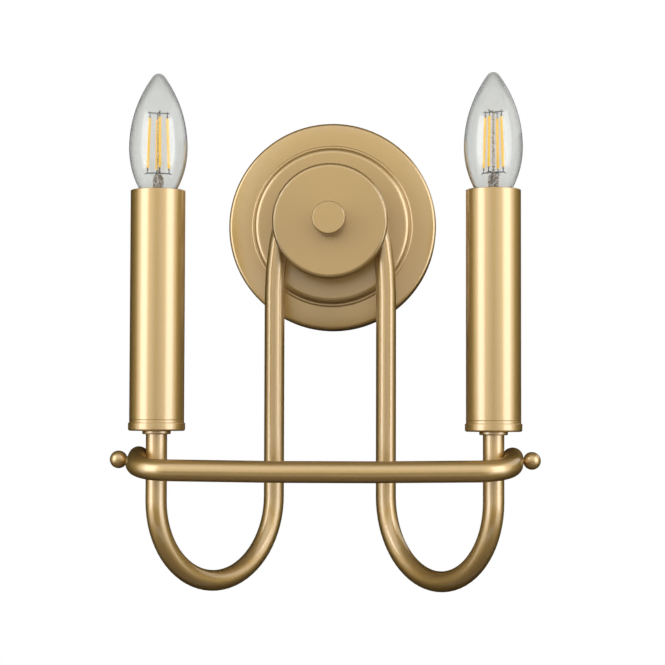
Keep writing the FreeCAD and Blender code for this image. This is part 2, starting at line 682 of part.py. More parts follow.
def screw_inserts():
    """The threaded inserts in the outer legs that take the ball screws."""
    inserts = []
    # The outer end stays just under the leg's round side.
    length = "(insert_reach - tube_r + sqrt(tube_r^2 - insert_r^2))"
    for name, side in SIDES:
        sign = "-" if side < 0 else ""
        start = (sign + "(outer_leg_x + tube_r - insert_reach)", "-" + OUTER_LEG_FRONT, "-" + HOOP_DROP)
        inserts.append(cut(cylinder("insert_r", length, start, RIGHT * side),
                           cylinder("ball_shank_r + fit_gap", length, start, RIGHT * side)))
    subpart(group(inserts), "screw_inserts")


def ball_screw(name, side):
    """A ball-headed screw through the hoop's side into the outer leg."""
    tip = "(outer_leg_x + tube_r - insert_reach)"
    seat = "(hoop_side_x + tube_r + 3 * fit_gap)"
    seat_r = "sqrt(ball_r^2 - (ball_x - hoop_side_x - tube_r - 3 * fit_gap)^2)"
    turned("ball_screw_" + name, ("0", "-" + OUTER_LEG_FRONT, "-" + HOOP_DROP), RIGHT * side, [
        ("0", tip),
        ("ball_shank_r", tip),
        ("ball_shank_r", seat),
        (seat_r, seat, "ball_r"),
        ("0", "ball_x + ball_r"),
    ])


# ---------------------------------------------------------------- candles

def candle_foot(sign):
    """Where a candle stands: on the axis of an outer leg, at the cup's underside."""
    return (sign + "outer_leg_x", "-" + OUTER_LEG_FRONT, "-cup_drop")


def candle_ring(name, foot):
    turned("candle_ring_" + name, foot, UP, [
        ("tube_r + fit_gap", "-ring_depth"),
        ("ring_r", "-ring_depth"),
        ("ring_r", "0"),
        ("tube_r + fit_gap", "0"),
    ])


def candle_cup(name, foot):
    """The shallow cup that carries the candle sleeve on its shoulder."""
    spigot_r = "sleeve_r - sleeve_wall - 2 * fit_gap"
    turned("candle_cup_" + name, foot, UP, [
        ("tube_r + fit_gap", "0"),
        ("cup_r", "0"),
        ("cup_r", "cup_band"),
        ("sleeve_r", "cup_band"),
        ("sleeve_r", "cup_height"),
        (spigot_r, "cup_height"),
        (spigot_r, "cup_height + spigot_height"),
        (spigot_r + " - cup_wall", "cup_height + spigot_height"),
        (spigot_r + " - cup_wall", "cup_wall"),
        ("tube_r + fit_gap", "cup_wall"),
    ])


def cup_nut(name, foot):
    """The nut on the leg's end that clamps the lamp holder's post and the cup."""
    base = (foot[0], foot[1], foot[2] + " + cup_wall + post_wall")
    nut = hexagon("cup_nut_r", "cup_nut_depth", base)
    subpart(cut(nut, cylinder("tube_r + fit_gap", "cup_nut_depth", base)), "cup_nut_" + name)


def candle_sleeve(name, foot):
    turned("candle_sleeve_" + name, foot, UP, [
        ("sleeve_r - sleeve_wall", "cup_height"),
        ("sleeve_r", "cup_height"),
        ("sleeve_r", SLEEVE_TOP),
        ("sleeve_r - sleeve_wall", SLEEVE_TOP),
    ])


def holder_post(name, foot):
    """The steel post from the cup up to the lamp holder: a foot, an upright strip and a tab."""
    x, y, z = foot
    floor = z + " + cup_wall"
    height = HOLDER_TOP + " - holder_length - cup_wall"
    tab = floor + " + " + height + " - post_wall"
    strip_y = y + " + post_reach"
    post = fuse([
        cylinder("post_reach + post_wall / 2", "post_wall", (x, y, floor)),
        block("post_width", "post_wall", height, (x + " - post_width / 2", strip_y, floor)),
        cylinder("holder_r", "post_wall", (x, y, tab)),
        block("post_width", "post_reach", "post_wall", (x + " - post_width / 2", y, tab)),
    ])
    holes = fuse([
        cylinder("tube_r + fit_gap", "post_wall", (x, y, floor)),
        cylinder("lead_r + 4 * fit_gap", "post_wall", (x, y, tab)),
    ])
    subpart(cut(post, holes), "holder_post_" + name)


def holder_body(name, foot):
    """The moulded body of the lamp holder, open at the top."""
    foot_height = HOLDER_TOP + " - holder_length"
    bore = "base_r + fit_gap + shell_wall + fit_gap"
    turned("holder_body_" + name, foot, UP, [
        ("lead_r + 4 * fit_gap", foot_height),
        ("holder_r", foot_height),
        ("holder_r", HOLDER_TOP),
        (bore, HOLDER_TOP),
        (bore, foot_height + " + holder_floor"),
        ("0", foot_height + " + holder_floor"),
        ("0", foot_height + " + holder_floor / 2 + fit_gap"),
        ("lead_r + 4 * fit_gap", foot_height + " + holder_floor / 2 + fit_gap"),
    ])


def holder_shell(name, foot):
    """The brass screw shell that the bulb's base turns in."""
    foot_height = HOLDER_TOP + " - holder_length + holder_floor + shell_rise"
    turned("holder_shell_" + name, foot, UP, [
        ("base_r + fit_gap", foot_height),
        ("base_r + fit_gap + shell_wall", foot_height),
        ("base_r + fit_gap + shell_wall", HOLDER_TOP + " - shell_rise"),
        ("base_r + fit_gap", HOLDER_TOP + " - shell_rise"),
    ])


def holder_contact(name, foot):
    foot_height = HOLDER_TOP + " - holder_length + holder_floor"
    turned("holder_contact_" + name, foot, UP, [
        ("0", foot_height),
        ("contact_r", foot_height),
        ("contact_r", BASE_SEAT + " - base_tip - fit_gap"),
        ("0", BASE_SEAT + " - base_tip - fit_gap"),
    ])


# ---------------------------------------------------------------- bulbs

def bulb_base(name, foot):
    """The screw base with its insulator and tip contact."""
    turned("bulb_base_" + name, foot, UP, [
        ("0", BASE_SEAT + " - base_tip"),
        ("base_tip_r", BASE_SEAT + " - base_tip"),
        ("base_r", BASE_SEAT),
        ("base_r", BULB_NECK + " - base_collar"),
        ("bulb_neck_r", BULB_NECK + " - base_collar"),
        ("bulb_neck_r", BULB_NECK),
        ("0", BULB_NECK),
    ])


def bulb_glass(name, foot):
    """The clear candle-shaped glass: a lower arc, a long flank arc and a small round nose."""
    widening = "(bulb_r - bulb_neck_r)"
    lower_r = "((%s^2 + bulb_belly^2) / (2 * %s))" % (widening, widening)
    nose_rise = "(bulb_height - bulb_belly - bulb_nose_r)"
    # The flank is tangent to the belly and to the nose.
    flank_r = "((bulb_r^2 + %s^2 - bulb_nose_r^2) / (2 * (bulb_r - bulb_nose_r)))" % nose_rise
    inset = "(%s - bulb_r)" % flank_r
    reach = "(%s - bulb_nose_r)" % flank_r
    belly = BULB_NECK + " + bulb_belly"

    def flank_end(wall):
        across = "(%s%s) * %s / %s - %s" % (flank_r, wall, inset, reach, inset)
        along = "%s + (%s%s) * %s / %s" % (belly, flank_r, wall, nose_rise, reach)
        return across, along

    inner_neck = "bulb_r - %s + sqrt((%s - glass_wall)^2 - bulb_belly^2)" % (lower_r, lower_r)
    turned("bulb_glass_" + name, foot, UP, [
        (inner_neck, BULB_NECK),
        ("bulb_neck_r", BULB_NECK, lower_r),
        ("bulb_r", belly, flank_r),
        flank_end("") + ("bulb_nose_r",),
        ("0", BULB_NECK + " + bulb_height"),
        ("0", BULB_NECK + " + bulb_height - glass_wall", "-(bulb_nose_r - glass_wall)"),
        flank_end(" - glass_wall") + ("-(%s - glass_wall)" % flank_r,),
        ("bulb_r - glass_wall", belly, "-(%s - glass_wall)" % lower_r),
    ])


def bulb_stem(name, foot):
    """The glass stem and the thin rod that stands on it."""
    top = BULB_NECK + " + stem_height"
    turned("bulb_stem_" + name, foot, UP, [
        ("0", BULB_NECK),
        ("stem_r", BULB_NECK),
        ("stem_r", top + " - stem_r / 2"),
        ("stem_r / 2", top),
        ("stem_rod_r", top),
        ("stem_rod_r", BULB_NECK + " + stem_rod_top"),
        ("0", BULB_NECK + " + stem_rod_top"),
    ])


def rod_between(start, end, radius):
    return Part.makeCylinder(radius, (end - start).Length, start, end - start)


def bulb_filaments_and_wires(name, side):
    """Four filaments round the stem, each held by a wire at its foot and one at its head."""
    centre = Vector(side * size("outer_leg_x"), -size(OUTER_LEG_FRONT),
                    size(BULB_NECK + " - cup_drop"))
    wire_r, gap = size("bulb_wire_r"), size("fit_gap")
    rod_side = size("stem_rod_r") + wire_r
    stem_top, rod_top = size("stem_height"), size("stem_rod_top")
    filaments, wires = [], []
    for turn in range(4):
        angle = math.radians(90 * turn + size("filament_turn_" + name))
        out = Vector(math.cos(angle), math.sin(angle), 0)
        foot = centre + out * size("filament_low_reach") + UP * size("filament_low")
        head = centre + out * size("filament_high_reach") + UP * size("filament_high")
        filaments.append(rod_between(foot, head, size("filament_r")))
        stem_point = centre + out * rod_side + UP * (stem_top + 2 * wire_r)
        rod_point = centre + out * rod_side + UP * (rod_top - wire_r)
        wires.append(rod_between(stem_point, foot - UP * gap, wire_r))
        wires.append(rod_between(rod_point, head + UP * gap, wire_r))
    feature("bulb_filaments_" + name, Part.makeCompound(filaments))
    trimmed = [wire.cut(Part.makeCompound(filaments)).Solids[0] for wire in wires]
    feature("bulb_wires_" + name, Part.makeCompound(trimmed))


# ---------------------------------------------------------------- the whole sconce

def build():
    mounting_strap()
    ground_screw()
    strap_nut()
    centre_nipple()
    canopy()
    tier_plate()
    hub_block()
    hub_grub_screws()
    front_disc()
    cap_nut()
    wire_connectors()
    hoop()
    hoop_end_plugs()
    screw_inserts()
    for name, side in SIDES:
        foot = candle_foot("-" if side < 0 else "")
        arm(name, side)
        lead(name, side)
        ball_screw(name, side)
        candle_ring(name, foot)
        candle_cup(name, foot)
        cup_nut(name, foot)
        candle_sleeve(name, foot)
        holder_post(name, foot)
        holder_body(name, foot)
        holder_shell(name, foot)
        holder_contact(name, foot)
        bulb_base(name, foot)
        bulb_glass(name, foot)
        bulb_stem(name, foot)
        bulb_filaments_and_wires(name, side)


def check():
    """Stops if any object failed or any piece isn't a sound closed solid."""
    for item in doc.Objects:
        if "Invalid" in item.State or "Error" in item.State:
            raise RuntimeError("%s failed: %s" % (item.Label, item.State))
    for item in subparts:
        shape = item.Shape
        if shape.isNull() or not shape.isValid() or not shape.Solids:
            raise RuntimeError("%s is not a sound solid" % item.Label)


build()
doc.recompute()
check()
os.makedirs("parts", exist_ok=True)
for item in subparts:
    item.Shape.exportStep("parts/%s.step" % item.Label)
    print("%-24s %2d solid(s) %10.1f mm3" % (item.Label, len(item.Shape.Solids), item.Shape.Volume))
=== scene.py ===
"""Looks of the double arm wall sconce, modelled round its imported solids. Lengths are in metres."""
import math

import bmesh
import bpy
from bpy.props import FloatProperty, PointerProperty, StringProperty
from mathutils import Matrix, Vector


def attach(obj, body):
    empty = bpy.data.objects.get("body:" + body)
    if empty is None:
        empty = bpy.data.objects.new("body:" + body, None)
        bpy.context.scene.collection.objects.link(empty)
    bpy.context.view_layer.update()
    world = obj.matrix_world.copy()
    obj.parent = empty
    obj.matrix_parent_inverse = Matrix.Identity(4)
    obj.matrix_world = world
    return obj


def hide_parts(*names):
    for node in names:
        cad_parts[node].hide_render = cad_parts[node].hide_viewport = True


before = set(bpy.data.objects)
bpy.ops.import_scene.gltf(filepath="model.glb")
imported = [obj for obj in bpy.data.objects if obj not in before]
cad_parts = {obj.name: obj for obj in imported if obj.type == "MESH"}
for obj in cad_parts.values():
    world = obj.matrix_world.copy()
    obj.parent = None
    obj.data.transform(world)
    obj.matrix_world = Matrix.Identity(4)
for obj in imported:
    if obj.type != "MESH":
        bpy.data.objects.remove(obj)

bl_info = {
    "name": "Double arm wall sconce",
    "version": (1, 0, 0),
    "blender": (4, 5, 0),
    "location": "View3D > Sidebar > Sconce",
    "description": "Builds the detailed pieces of a double arm wall sconce and its studio",
    "category": "Add Mesh",
}

MM = 0.001
PLAY = 0.05 * MM  # The gap between a tube and the hole round it.
UP = Vector((0, 0, 1))
DOWN = Vector((0, 0, -1))
FRONT = Vector((0, -1, 0))
RIGHT = Vector((1, 0, 0))
ORIGIN = (0, 0, 0)
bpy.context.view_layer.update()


def mm(values):
    """Millimetres as metres, for a tuple of numbers or a list of such tuples."""
    if isinstance(values, (int, float)):
        return values * MM
    return type(values)(mm(value) for value in values)


# ---------------------------------------------------------------- sizes and colours

def metres(name, description, default):
    """A length that a user can change."""
    return FloatProperty(name=name, description=description, default=default, unit="LENGTH")


def degrees(name, description, default):
    """An angle that a user can change."""
    return FloatProperty(name=name, description=description, default=math.radians(default), subtype="ANGLE")


def hex_colour(name, description, default):
    """A colour that a user can change."""
    return StringProperty(name=name, description=description, default=default)


class SconceWallSizes(bpy.types.PropertyGroup):
    """The parts on the wall: canopy, second tier, disc and cap nut."""
    canopy_radius: metres("Canopy radius", "Radius of the canopy's rim", 0.0675)
    canopy_depth: metres("Canopy depth", "How far the canopy's outer face stands from the wall", 0.022)
    canopy_wall: metres("Canopy sheet", "Thickness of the canopy's sheet", 0.0012)
    canopy_edge: metres("Canopy edge", "Radius of the rounded edge of the canopy's face", 0.0025)
    step_radius: metres("Step radius", "Radius of the low step in the canopy's face", 0.0525)
    step_rise: metres("Step rise", "Height of the low step", 0.0014)
    tier_radius: metres("Second tier radius", "Radius of the smaller pan", 0.0508)
    tier_depth: metres("Second tier depth", "Height of the smaller pan", 0.0056)
    tier_wall: metres("Second tier sheet", "Thickness of the smaller pan's sheet", 0.0014)
    tier_edge: metres("Second tier edge", "Radius of the smaller pan's rounded edge", 0.002)
    disc_back: metres("Disc distance", "Distance from the wall to the front disc's back", 0.056)
    disc_radius: metres("Disc radius", "Radius of the front disc", 0.0367)
    disc_depth: metres("Disc thickness", "Thickness of the front disc", 0.005)
    disc_edge: metres("Disc edge", "Radius of the front disc's rounded edge", 0.0028)
    cap_radius: metres("Cap nut radius", "Radius of the cap nut", 0.0104)
    cap_length: metres("Cap nut length", "Length of the cap nut", 0.019)
    nipple_radius: metres("Centre tube radius", "Outer radius of the threaded centre tube", 0.00485)
    wire_way_radius: metres("Wire hole radius", "Radius of the hole for both lamp leads", 0.0046)


class SconceArmSizes(bpy.types.PropertyGroup):
    """The two bent tubes and the hoop that rests on them."""
    tube_radius: metres("Tube radius", "Outer radius of the arm and hoop tubes", 0.00635)
    tube_wall: metres("Tube wall", "Wall of the arm and hoop tubes", 0.0012)
    entry_height: metres("Hub height", "Height of the arms' upper ends over the middle of the disc", 0.016)
    entry_gap: metres("Hub end", "How far an arm's upper end stays from the middle", 0.005)
    top_bend: metres("Top bend", "Radius of the bend behind the disc", 0.019)
    lean_bend: metres("Lean bend", "Radius of the long bend below the disc", 0.2)
    lean: degrees("Lean", "How far the inner leg leans where the long bend begins", 13.4)
    inner_leg: metres("Inner leg", "Sideways place of the inner leg", 0.0355)
    outer_leg: metres("Outer leg", "Sideways place of the outer leg", 0.1003)
    inner_front: metres("Inner leg distance", "Distance from the wall to the inner leg's axis", 0.0475)
    outer_front: metres("Outer leg distance", "Distance from the wall to the outer leg's axis", 0.1244)
    hoop_drop: metres("Hoop drop", "How far the hoop's ends hang below the middle of the disc", 0.1494)
    bend_drop: metres("Lower bend drop", "How far below the middle of the disc the lower bends begin", 0.1739)
    hoop_side: metres("Hoop side", "Sideways place of the hoop's side tubes", 0.1115)
    hoop_side_lean: degrees("Hoop side lean", "How far the hoop's sides lean inwards", 3)
    hoop_tail: metres("Hoop tail", "Length of the hoop behind its screws", 0.008)
    hoop_reach: metres("Hoop reach", "How far the bar stands in front of the screws", 0.034)
    hoop_bow: metres("Hoop bow", "Radius of the bowed bar", 1.13)
    hoop_corner: metres("Hoop corner", "Radius of the hoop's corners", 0.022)
    hoop_tilt: degrees("Hoop tilt", "How far the hoop's front dips", 10.5)
    ball_radius: metres("Ball radius", "Radius of the ball-headed screws' balls", 0.0053)
    ball_place: metres("Ball place", "Sideways place of the balls' middles", 0.1229)


class SconceCandleSizes(bpy.types.PropertyGroup):
    """The candle cups, sleeves and bulbs."""
    cup_drop: metres("Cup drop", "How far the cups' undersides hang below the middle of the disc", 0.1323)
    cup_radius: metres("Cup radius", "Radius of the cup's band", 0.017)
    cup_band: metres("Cup band", "Height of the cup's band", 0.0048)
    cup_height: metres("Cup height", "Height of the whole cup", 0.0065)
    ring_radius: metres("Ring radius", "Radius of the ring under the cup", 0.0085)
    sleeve_radius: metres("Sleeve radius", "Radius of the candle sleeve", 0.01635)
    sleeve_wall: metres("Sleeve wall", "Wall of the candle sleeve", 0.00115)
    sleeve_length: metres("Sleeve length", "Length of the candle sleeve", 0.1374)
    neck_height: metres("Bulb neck", "Height of the glass's lower end over the cup's underside", 0.1373)
    bulb_radius: metres("Bulb radius", "Radius of the glass at its widest", 0.0175)
    bulb_neck: metres("Neck radius", "Radius of the glass at its lower end", 0.0066)
    bulb_belly: metres("Bulb belly", "Height of the widest place over the neck", 0.0321)
    bulb_height: metres("Bulb height", "Height of the glass", 0.0772)
    bulb_nose: metres("Bulb tip", "Radius of the glass's tip", 0.0043)
    glass_wall: metres("Glass wall", "Wall of the glass", 0.0008)


class SconceColours(bpy.types.PropertyGroup):
    """Colours as sRGB hex values."""
    gold: hex_colour("Satin gold", "Lacquer of all visible metal", "#C8A662")
    # Darker than the gold, so outlines turn darker at grazing angles: partly the lacquer's own edge tint,
    # partly painted shade.
    gold_edge_shade: hex_colour("Satin gold edge", "What the lacquer turns to at a grazing angle", "#8C6A3E")
    zinc: hex_colour("Zinc", "Plated steel inside the fitting", "#B9BDBE")
    brass: hex_colour("Brass", "Bare brass contacts and inserts", "#D9B368")
    nickel: hex_colour("Nickel", "Plated screw base of the bulb", "#C9C4BA")
    phosphor: hex_colour("Phosphor", "Coating of the filaments", "#FFC83C")
    connector: hex_colour("Wire connector", "Moulded plastic of the wire connectors", "#D9652B")
    rubber: hex_colour("Lead insulation", "Insulation of the lamp leads", "#2A2A2C")
    floor: hex_colour("Floor", "Pale floor of the studio", "#EDEBE7")


# ---------------------------------------------------------------- modelling

def rest():
    """Leaves edit mode and selects nothing, because an operator acts on all that is selected."""
    if bpy.context.object and bpy.context.object.mode != "OBJECT":
        bpy.ops.object.mode_set(mode="OBJECT")
    bpy.ops.object.select_all(action="DESELECT")


def take(piece):
    """Makes a piece the only selected and active one."""
    rest()
    piece.select_set(True)
    bpy.context.view_layer.objects.active = piece


def named(piece, name):
    """Names a piece and its mesh."""
    piece.name = piece.data.name = name
    return piece


def applied(piece, matrix=None):
    """Applies a piece's own place, turn and scale, or those that a matrix gives it."""
    take(piece)
    if matrix is not None:
        piece.matrix_world = matrix
    bpy.ops.object.transform_apply(location=True, rotation=True, scale=True)
    return piece


def open_up(piece, action="SELECT"):
    """Opens a piece in edit mode with all or nothing selected."""
    take(piece)
    bpy.ops.object.mode_set(mode="EDIT")
    bpy.ops.mesh.select_all(action=action)


def close_up(piece):
    """Merges doubles and turns the faces outwards, then returns to object mode."""
    bpy.ops.mesh.select_all(action="SELECT")
    bpy.ops.mesh.remove_doubles(threshold=2e-6)
    bpy.ops.mesh.normals_make_consistent(inside=False)
    bpy.ops.object.mode_set(mode="OBJECT")
    return piece


def start_circle(name, radius, place, axis, sides):
    """Adds a circle across an axis and opens it in edit mode with its ring selected."""
    rest()
    bpy.ops.mesh.primitive_circle_add(vertices=sides, radius=radius, location=place,
                                      rotation=axis.to_track_quat("Z", "Y").to_euler())
    piece = applied(named(bpy.context.object, name))
    open_up(piece)
    return piece


def select_ring(piece, numbers):
    """Selects the vertices with these numbers in edit mode."""
    bpy.ops.mesh.select_all(action="DESELECT")
    mesh = bmesh.from_edit_mesh(piece.data)
    mesh.verts.ensure_lookup_table()
    for number in numbers:
        mesh.verts[number].select = True
    mesh.select_flush(True)
    bmesh.update_edit_mesh(piece.data)


def next_ring(centre, move, scale):
    """Extrudes the selected ring along a move and resizes it about its own middle."""
    bpy.ops.mesh.extrude_edges_move(TRANSFORM_OT_translate={"value": move})
    if abs(scale - 1) > 1e-9:
        bpy.ops.transform.resize(value=(scale,) * 3, center_override=centre)


def lathe(name, rings, place, axis=UP, sides=96):
    """Turns a piece from (radius, height) rings. A radius of 0 at either end is a closed pole."""
    place, axis = Vector(place), Vector(axis)
    first = 1 if rings[0][0] == 0 else 0
    radius, height = rings[first]
    piece = start_circle(name, radius, place + axis * height, axis, sides)
    for new_radius, new_height in rings[first + 1:]:
        centre = place + axis * new_height
        next_ring(centre, axis * (new_height - height), new_radius / radius if new_radius else 0.5)
        if new_radius == 0:
            bpy.ops.mesh.merge(type="CENTER")
            break
        radius, height = new_radius, new_height
    if first:
        select_ring(piece, range(sides))
        rise = rings[0][1] - rings[1][1]
        next_ring(place + axis * rings[0][1], axis * rise, 0.5)
        bpy.ops.mesh.merge(type="CENTER")
    return close_up(piece)


def rounded(corners, step=15):
    """Rings of an outline whose corners (radius, height, rounding) are rounded by arcs."""
    rings = []
    for number, corner in enumerate(corners):
        rounding = corner[2] if len(corner) > 2 else 0
        here = Vector(corner[:2])
        if not rounding:
            rings.append(tuple(here))
            continue
        before = (Vector(corners[number - 1][:2]) - here).normalized()
        after = (Vector(corners[(number + 1) % len(corners)][:2]) - here).normalized()
        angle = before.angle(after)
        reach = rounding / math.tan(angle / 2)
        middle = here + (before + after).normalized() * rounding / math.sin(angle / 2)
        start, end = here + before * reach - middle, here + after * reach - middle
        turn = start.angle_signed(end)
        parts = max(2, math.ceil(abs(math.degrees(turn)) / step))
        for part in range(parts + 1):
            point = middle + Matrix.Rotation(-turn * part / parts, 2) @ start
            rings.append(tuple(point))
    return rings


def turned(name, corners, place, axis=UP, sides=96, step=15):
    """Turns a piece from rounded corners. An outline without poles closes on itself."""
    rings = rounded(corners, step)
    return lathe(name, rings if rings[0][0] == 0 else rings + rings[:1], place, axis, sides)


def arc(middle, height, radius, start, end, parts):
    """Rings along an arc round (middle, height), from one angle over the horizontal to another."""
    angles = [start + (end - start) * part / parts for part in range(parts + 1)]
    return [(middle + radius * math.cos(angle), height + radius * math.sin(angle)) for angle in angles]


def ridges(radius, depth, pitch, start, end):
    """Rings of a thread's crests and roots between two heights."""
    count = max(1, round((end - start) / pitch))
    step = (end - start) / count
    rings = []
    for number in range(count):
        low = start + (end - start) * number / count
        rings += [(radius - depth, low + step * 0.1), (radius, low + step * 0.45),
                  (radius, low + step * 0.55), (radius - depth, low + step * 0.9)]
    return rings


def bend_tube(name, radius, place, heading, moves, sides, wall=0.0, step=5):
    """Draws a tube along runs ("run", length) and bends ("bend", radius, turning axis, angle). A bend
    has a ring every few degrees."""
    place, heading = Vector(place), Vector(heading).normalized()
    piece = start_circle(name, radius, place, heading, sides)
    for kind, amount, *bend in moves:
        if kind == "run":
            bpy.ops.mesh.extrude_edges_move(TRANSFORM_OT_translate={"value": heading * amount})
            place = place + heading * amount
            continue
        axis, angle = Vector(bend[0]).normalized(), bend[1]
        centre = place + axis.cross(heading) * amount
        steps = max(3, math.ceil(abs(math.degrees(angle)) / step))
        # Spin turns the other way round its axis than a rotation matrix does.
        bpy.ops.mesh.spin(steps=steps, angle=-angle, center=centre, axis=axis)
        turn = Matrix.Rotation(angle, 3, axis)
        place, heading = centre + turn @ (place - centre), turn @ heading
    close_up(piece)
    if wall:
        apply_modifier(piece, "SOLIDIFY", thickness=wall, offset=-1, use_even_offset=True)
    return piece


def wire_between(points, radius, bend):
    """A bent wire through points, with a small bend at each corner and closed ends."""
    heading = (points[1] - points[0]).normalized()
    moves, trim = [], 0.0
    for number in range(1, len(points)):
        run = points[number] - points[number - 1]
        if number + 1 < len(points):
            after = (points[number + 1] - points[number]).normalized()
            angle = run.angle(after)
            cut = bend * math.tan(angle / 2)
            moves += [("run", run.length - trim - cut), ("bend", bend, run.cross(after), angle)]
            trim = cut
        else:
            moves.append(("run", run.length - trim))
    wire = bend_tube("wire", radius, points[0], heading, moves, 8)
    open_up(wire, "DESELECT")
    bpy.ops.mesh.select_mode(type="EDGE")
    bpy.ops.mesh.select_non_manifold()
    bpy.ops.mesh.edge_face_add()
    bpy.ops.mesh.select_mode(type="VERT")
    return close_up(wire)


def block(name, size, place):
    """A box of a size round a place."""
    rest()
    bpy.ops.mesh.primitive_cube_add(size=1, location=place)
    piece = named(bpy.context.object, name)
    piece.scale = size
    return applied(piece)


def apply_modifier(piece, kind, **settings):
    """Adds one modifier with its settings and applies it."""
    take(piece)
    bpy.ops.object.modifier_add(type=kind)
    modifier = piece.modifiers[-1]
    for key, value in settings.items():
        setattr(modifier, key, value)
    bpy.ops.object.modifier_apply(modifier=modifier.name)
    return piece


def ease(piece, width, segments=2):
    """Rounds all sharp edges of a piece by a small radius."""
    return apply_modifier(piece, "BEVEL", width=width, segments=segments, limit_method="ANGLE",
                          angle_limit=math.radians(40), use_clamp_overlap=True)


def carve(piece, tool, operation="DIFFERENCE"):
    """Cuts the tool's shape out of a piece, or unites or intersects them, and removes the tool."""
    apply_modifier(piece, "BOOLEAN", operation=operation, solver="EXACT", object=tool)
    bpy.data.objects.remove(tool)
    return piece


def rod(radius, start, axis, length, sides=48):
    """A plain round rod."""
    return lathe("rod", [(0, 0), (radius, 0), (radius, length), (0, length)], start, axis, sides)


def drill(piece, radius, start, axis, length, sides=48):
    """Cuts a round hole."""
    return carve(piece, rod(radius, start, axis, length, sides))


def slot_tool(place, axis, width, length, depth):
    """A tool for a slot that runs along x: half a ring is moved each way, then drawn out."""
    tool = start_circle("tool", width / 2, Vector(place) - axis * depth / 2, axis, 32)
    for side in (1, -1):
        mesh = bmesh.from_edit_mesh(tool.data)
        select_ring(tool, [v.index for v in mesh.verts if (v.co.x - place[0]) * side > 1e-6])
        bpy.ops.transform.translate(value=((length - width) / 2 * side, 0, 0))
    bpy.ops.mesh.select_all(action="SELECT")
    bpy.ops.mesh.edge_face_add()
    bpy.ops.mesh.extrude_region_move(TRANSFORM_OT_translate={"value": axis * depth})
    return close_up(tool)


def hex_nut(name, place, axis, corner, bore, depth):
    """A hexagon nut: six sides, chamfered corners and a bore."""
    nut = lathe(name, [(0, 0), (corner, 0), (corner, depth), (0, depth)], place, axis, 6)
    flat, fall = corner * 0.89, depth * 0.16
    chamfer = lathe("chamfer", [(0, 0), (flat, 0), (corner, fall), (corner, depth - fall), (flat, depth),
                                (0, depth)], place, axis, 64)
    carve(nut, chamfer, "INTERSECT")
    return drill(nut, bore, Vector(place) - axis * MM, axis, depth + 2 * MM)


def copy_of(piece, name, move=None, mirrored=False):
    """A copy with its own mesh, moved, or mirrored to the other side."""
    take(piece)
    bpy.ops.object.duplicate(linked=False)
    twin = named(bpy.context.object, name)
    if move is not None:
        bpy.ops.transform.translate(value=move)
    if mirrored:
        bpy.ops.transform.resize(value=(-1, 1, 1), center_override=(0, 0, 0))
    return applied(twin)


def outwards(piece):
    """Turns a closed piece's faces round where a mirror has turned it inside out."""
    mesh = bmesh.new()
    mesh.from_mesh(piece.data)
    volume = mesh.calc_volume(signed=True)
    mesh.free()
    if volume < 0:
        open_up(piece)
        bpy.ops.mesh.flip_normals()
        bpy.ops.object.mode_set(mode="OBJECT")


def joined(pieces, name):
    """Joins several meshes into one piece."""
    rest()
    for piece in pieces:
        piece.select_set(True)
    bpy.context.view_layer.objects.active = pieces[0]
    if len(pieces) > 1:
        bpy.ops.object.join()
    return named(pieces[0], name)


def spin_about(piece, centre, angle):
    """Turns a piece about an upright axis through a place."""
    centre = Vector(centre)
    return applied(piece, Matrix.Translation(centre) @ Matrix.Rotation(angle, 4, "Z")
                   @ Matrix.Translation(-centre))


def quartet(piece, centre, name):
    """Four copies of a piece round an upright axis, joined."""
    copies = [spin_about(copy_of(piece, name), centre, math.radians(90 * number)) for number in (1, 2, 3)]
    return joined([piece] + copies, name)


def dress(piece, slot):
    """Gives a piece the finish of its slot."""
    piece.data.materials.clear()
    piece.data.materials.append(FINISHES[slot]())


def keep_solids(slot, *nodes):
    """Gives kept solids the finish of their slot."""
    for name in nodes:
        dress(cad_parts[name], slot)


def hand_over(piece, *nodes, body="frame", slot="satin_gold", crease=35):
    """Shades a finished piece, gives it its finish, ties it to its body and hides its solids."""
    outwards(piece)
    take(piece)
    bpy.ops.object.shade_smooth_by_angle(angle=math.radians(crease))
    apply_modifier(piece, "WEIGHTED_NORMAL", keep_sharp=True, weight=50)
    dress(piece, slot)
    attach(piece, body)
    if nodes:
        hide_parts(*nodes)


def candle_foot():
    """Where the right candle stands: at its cup's underside."""
    s, c = bpy.context.scene.sconce_arms, bpy.context.scene.sconce_candles
    return Vector((s.outer_leg, -s.outer_front, -c.cup_drop))


def both_sides(right, name, solid, body="frame", slot="satin_gold", crease=35, mirrored=False,
               turns=(0, 0)):
    """Copies a right-hand piece to the left and hands both over. The copy is moved from candle to
    candle, or mirrored. Turns are angles in degrees about the right and the left candle."""
    foot = candle_foot()
    left = copy_of(right, name + "_left", None if mirrored else (-2 * foot.x, 0, 0), mirrored)
    named(right, name + "_right")
    for piece, side, sign, turn in ((right, "_right", 1, turns[0]), (left, "_left", -1, turns[1])):
        if turn:
            spin_about(piece, (sign * foot.x, foot.y, foot.z), math.radians(turn))
        hand_over(piece, *([solid + side] if solid else []), body=body if body == "frame" else body + side,
                  slot=slot, crease=crease)


# ---------------------------------------------------------------- finishes

def colour(text):
    """The linear colour of an sRGB hex value."""
    channels = [int(text[place:place + 2], 16) / 255 for place in (1, 3, 5)]
    return tuple(c / 12.92 if c <= 0.04045 else ((c + 0.055) / 1.055) ** 2.4 for c in channels) + (1.0,)


def shade(text, amount):
    """A hex colour's linear value made lighter or darker by a factor."""
    return tuple(min(1.0, c * amount) for c in colour(text)[:3]) + (1.0,)


def node(tree, kind, inputs=None, **settings):
    """Adds a node with its settings. An input is a value, or another node's output to link."""
    new = tree.nodes.new("ShaderNode" + kind)
    for key, value in settings.items():
        setattr(new, key, value)
    for key, value in (inputs or {}).items():
        if isinstance(value, bpy.types.NodeSocket):
            tree.links.new(value, new.inputs[key])
        else:
            new.inputs[key].default_value = value
    return new


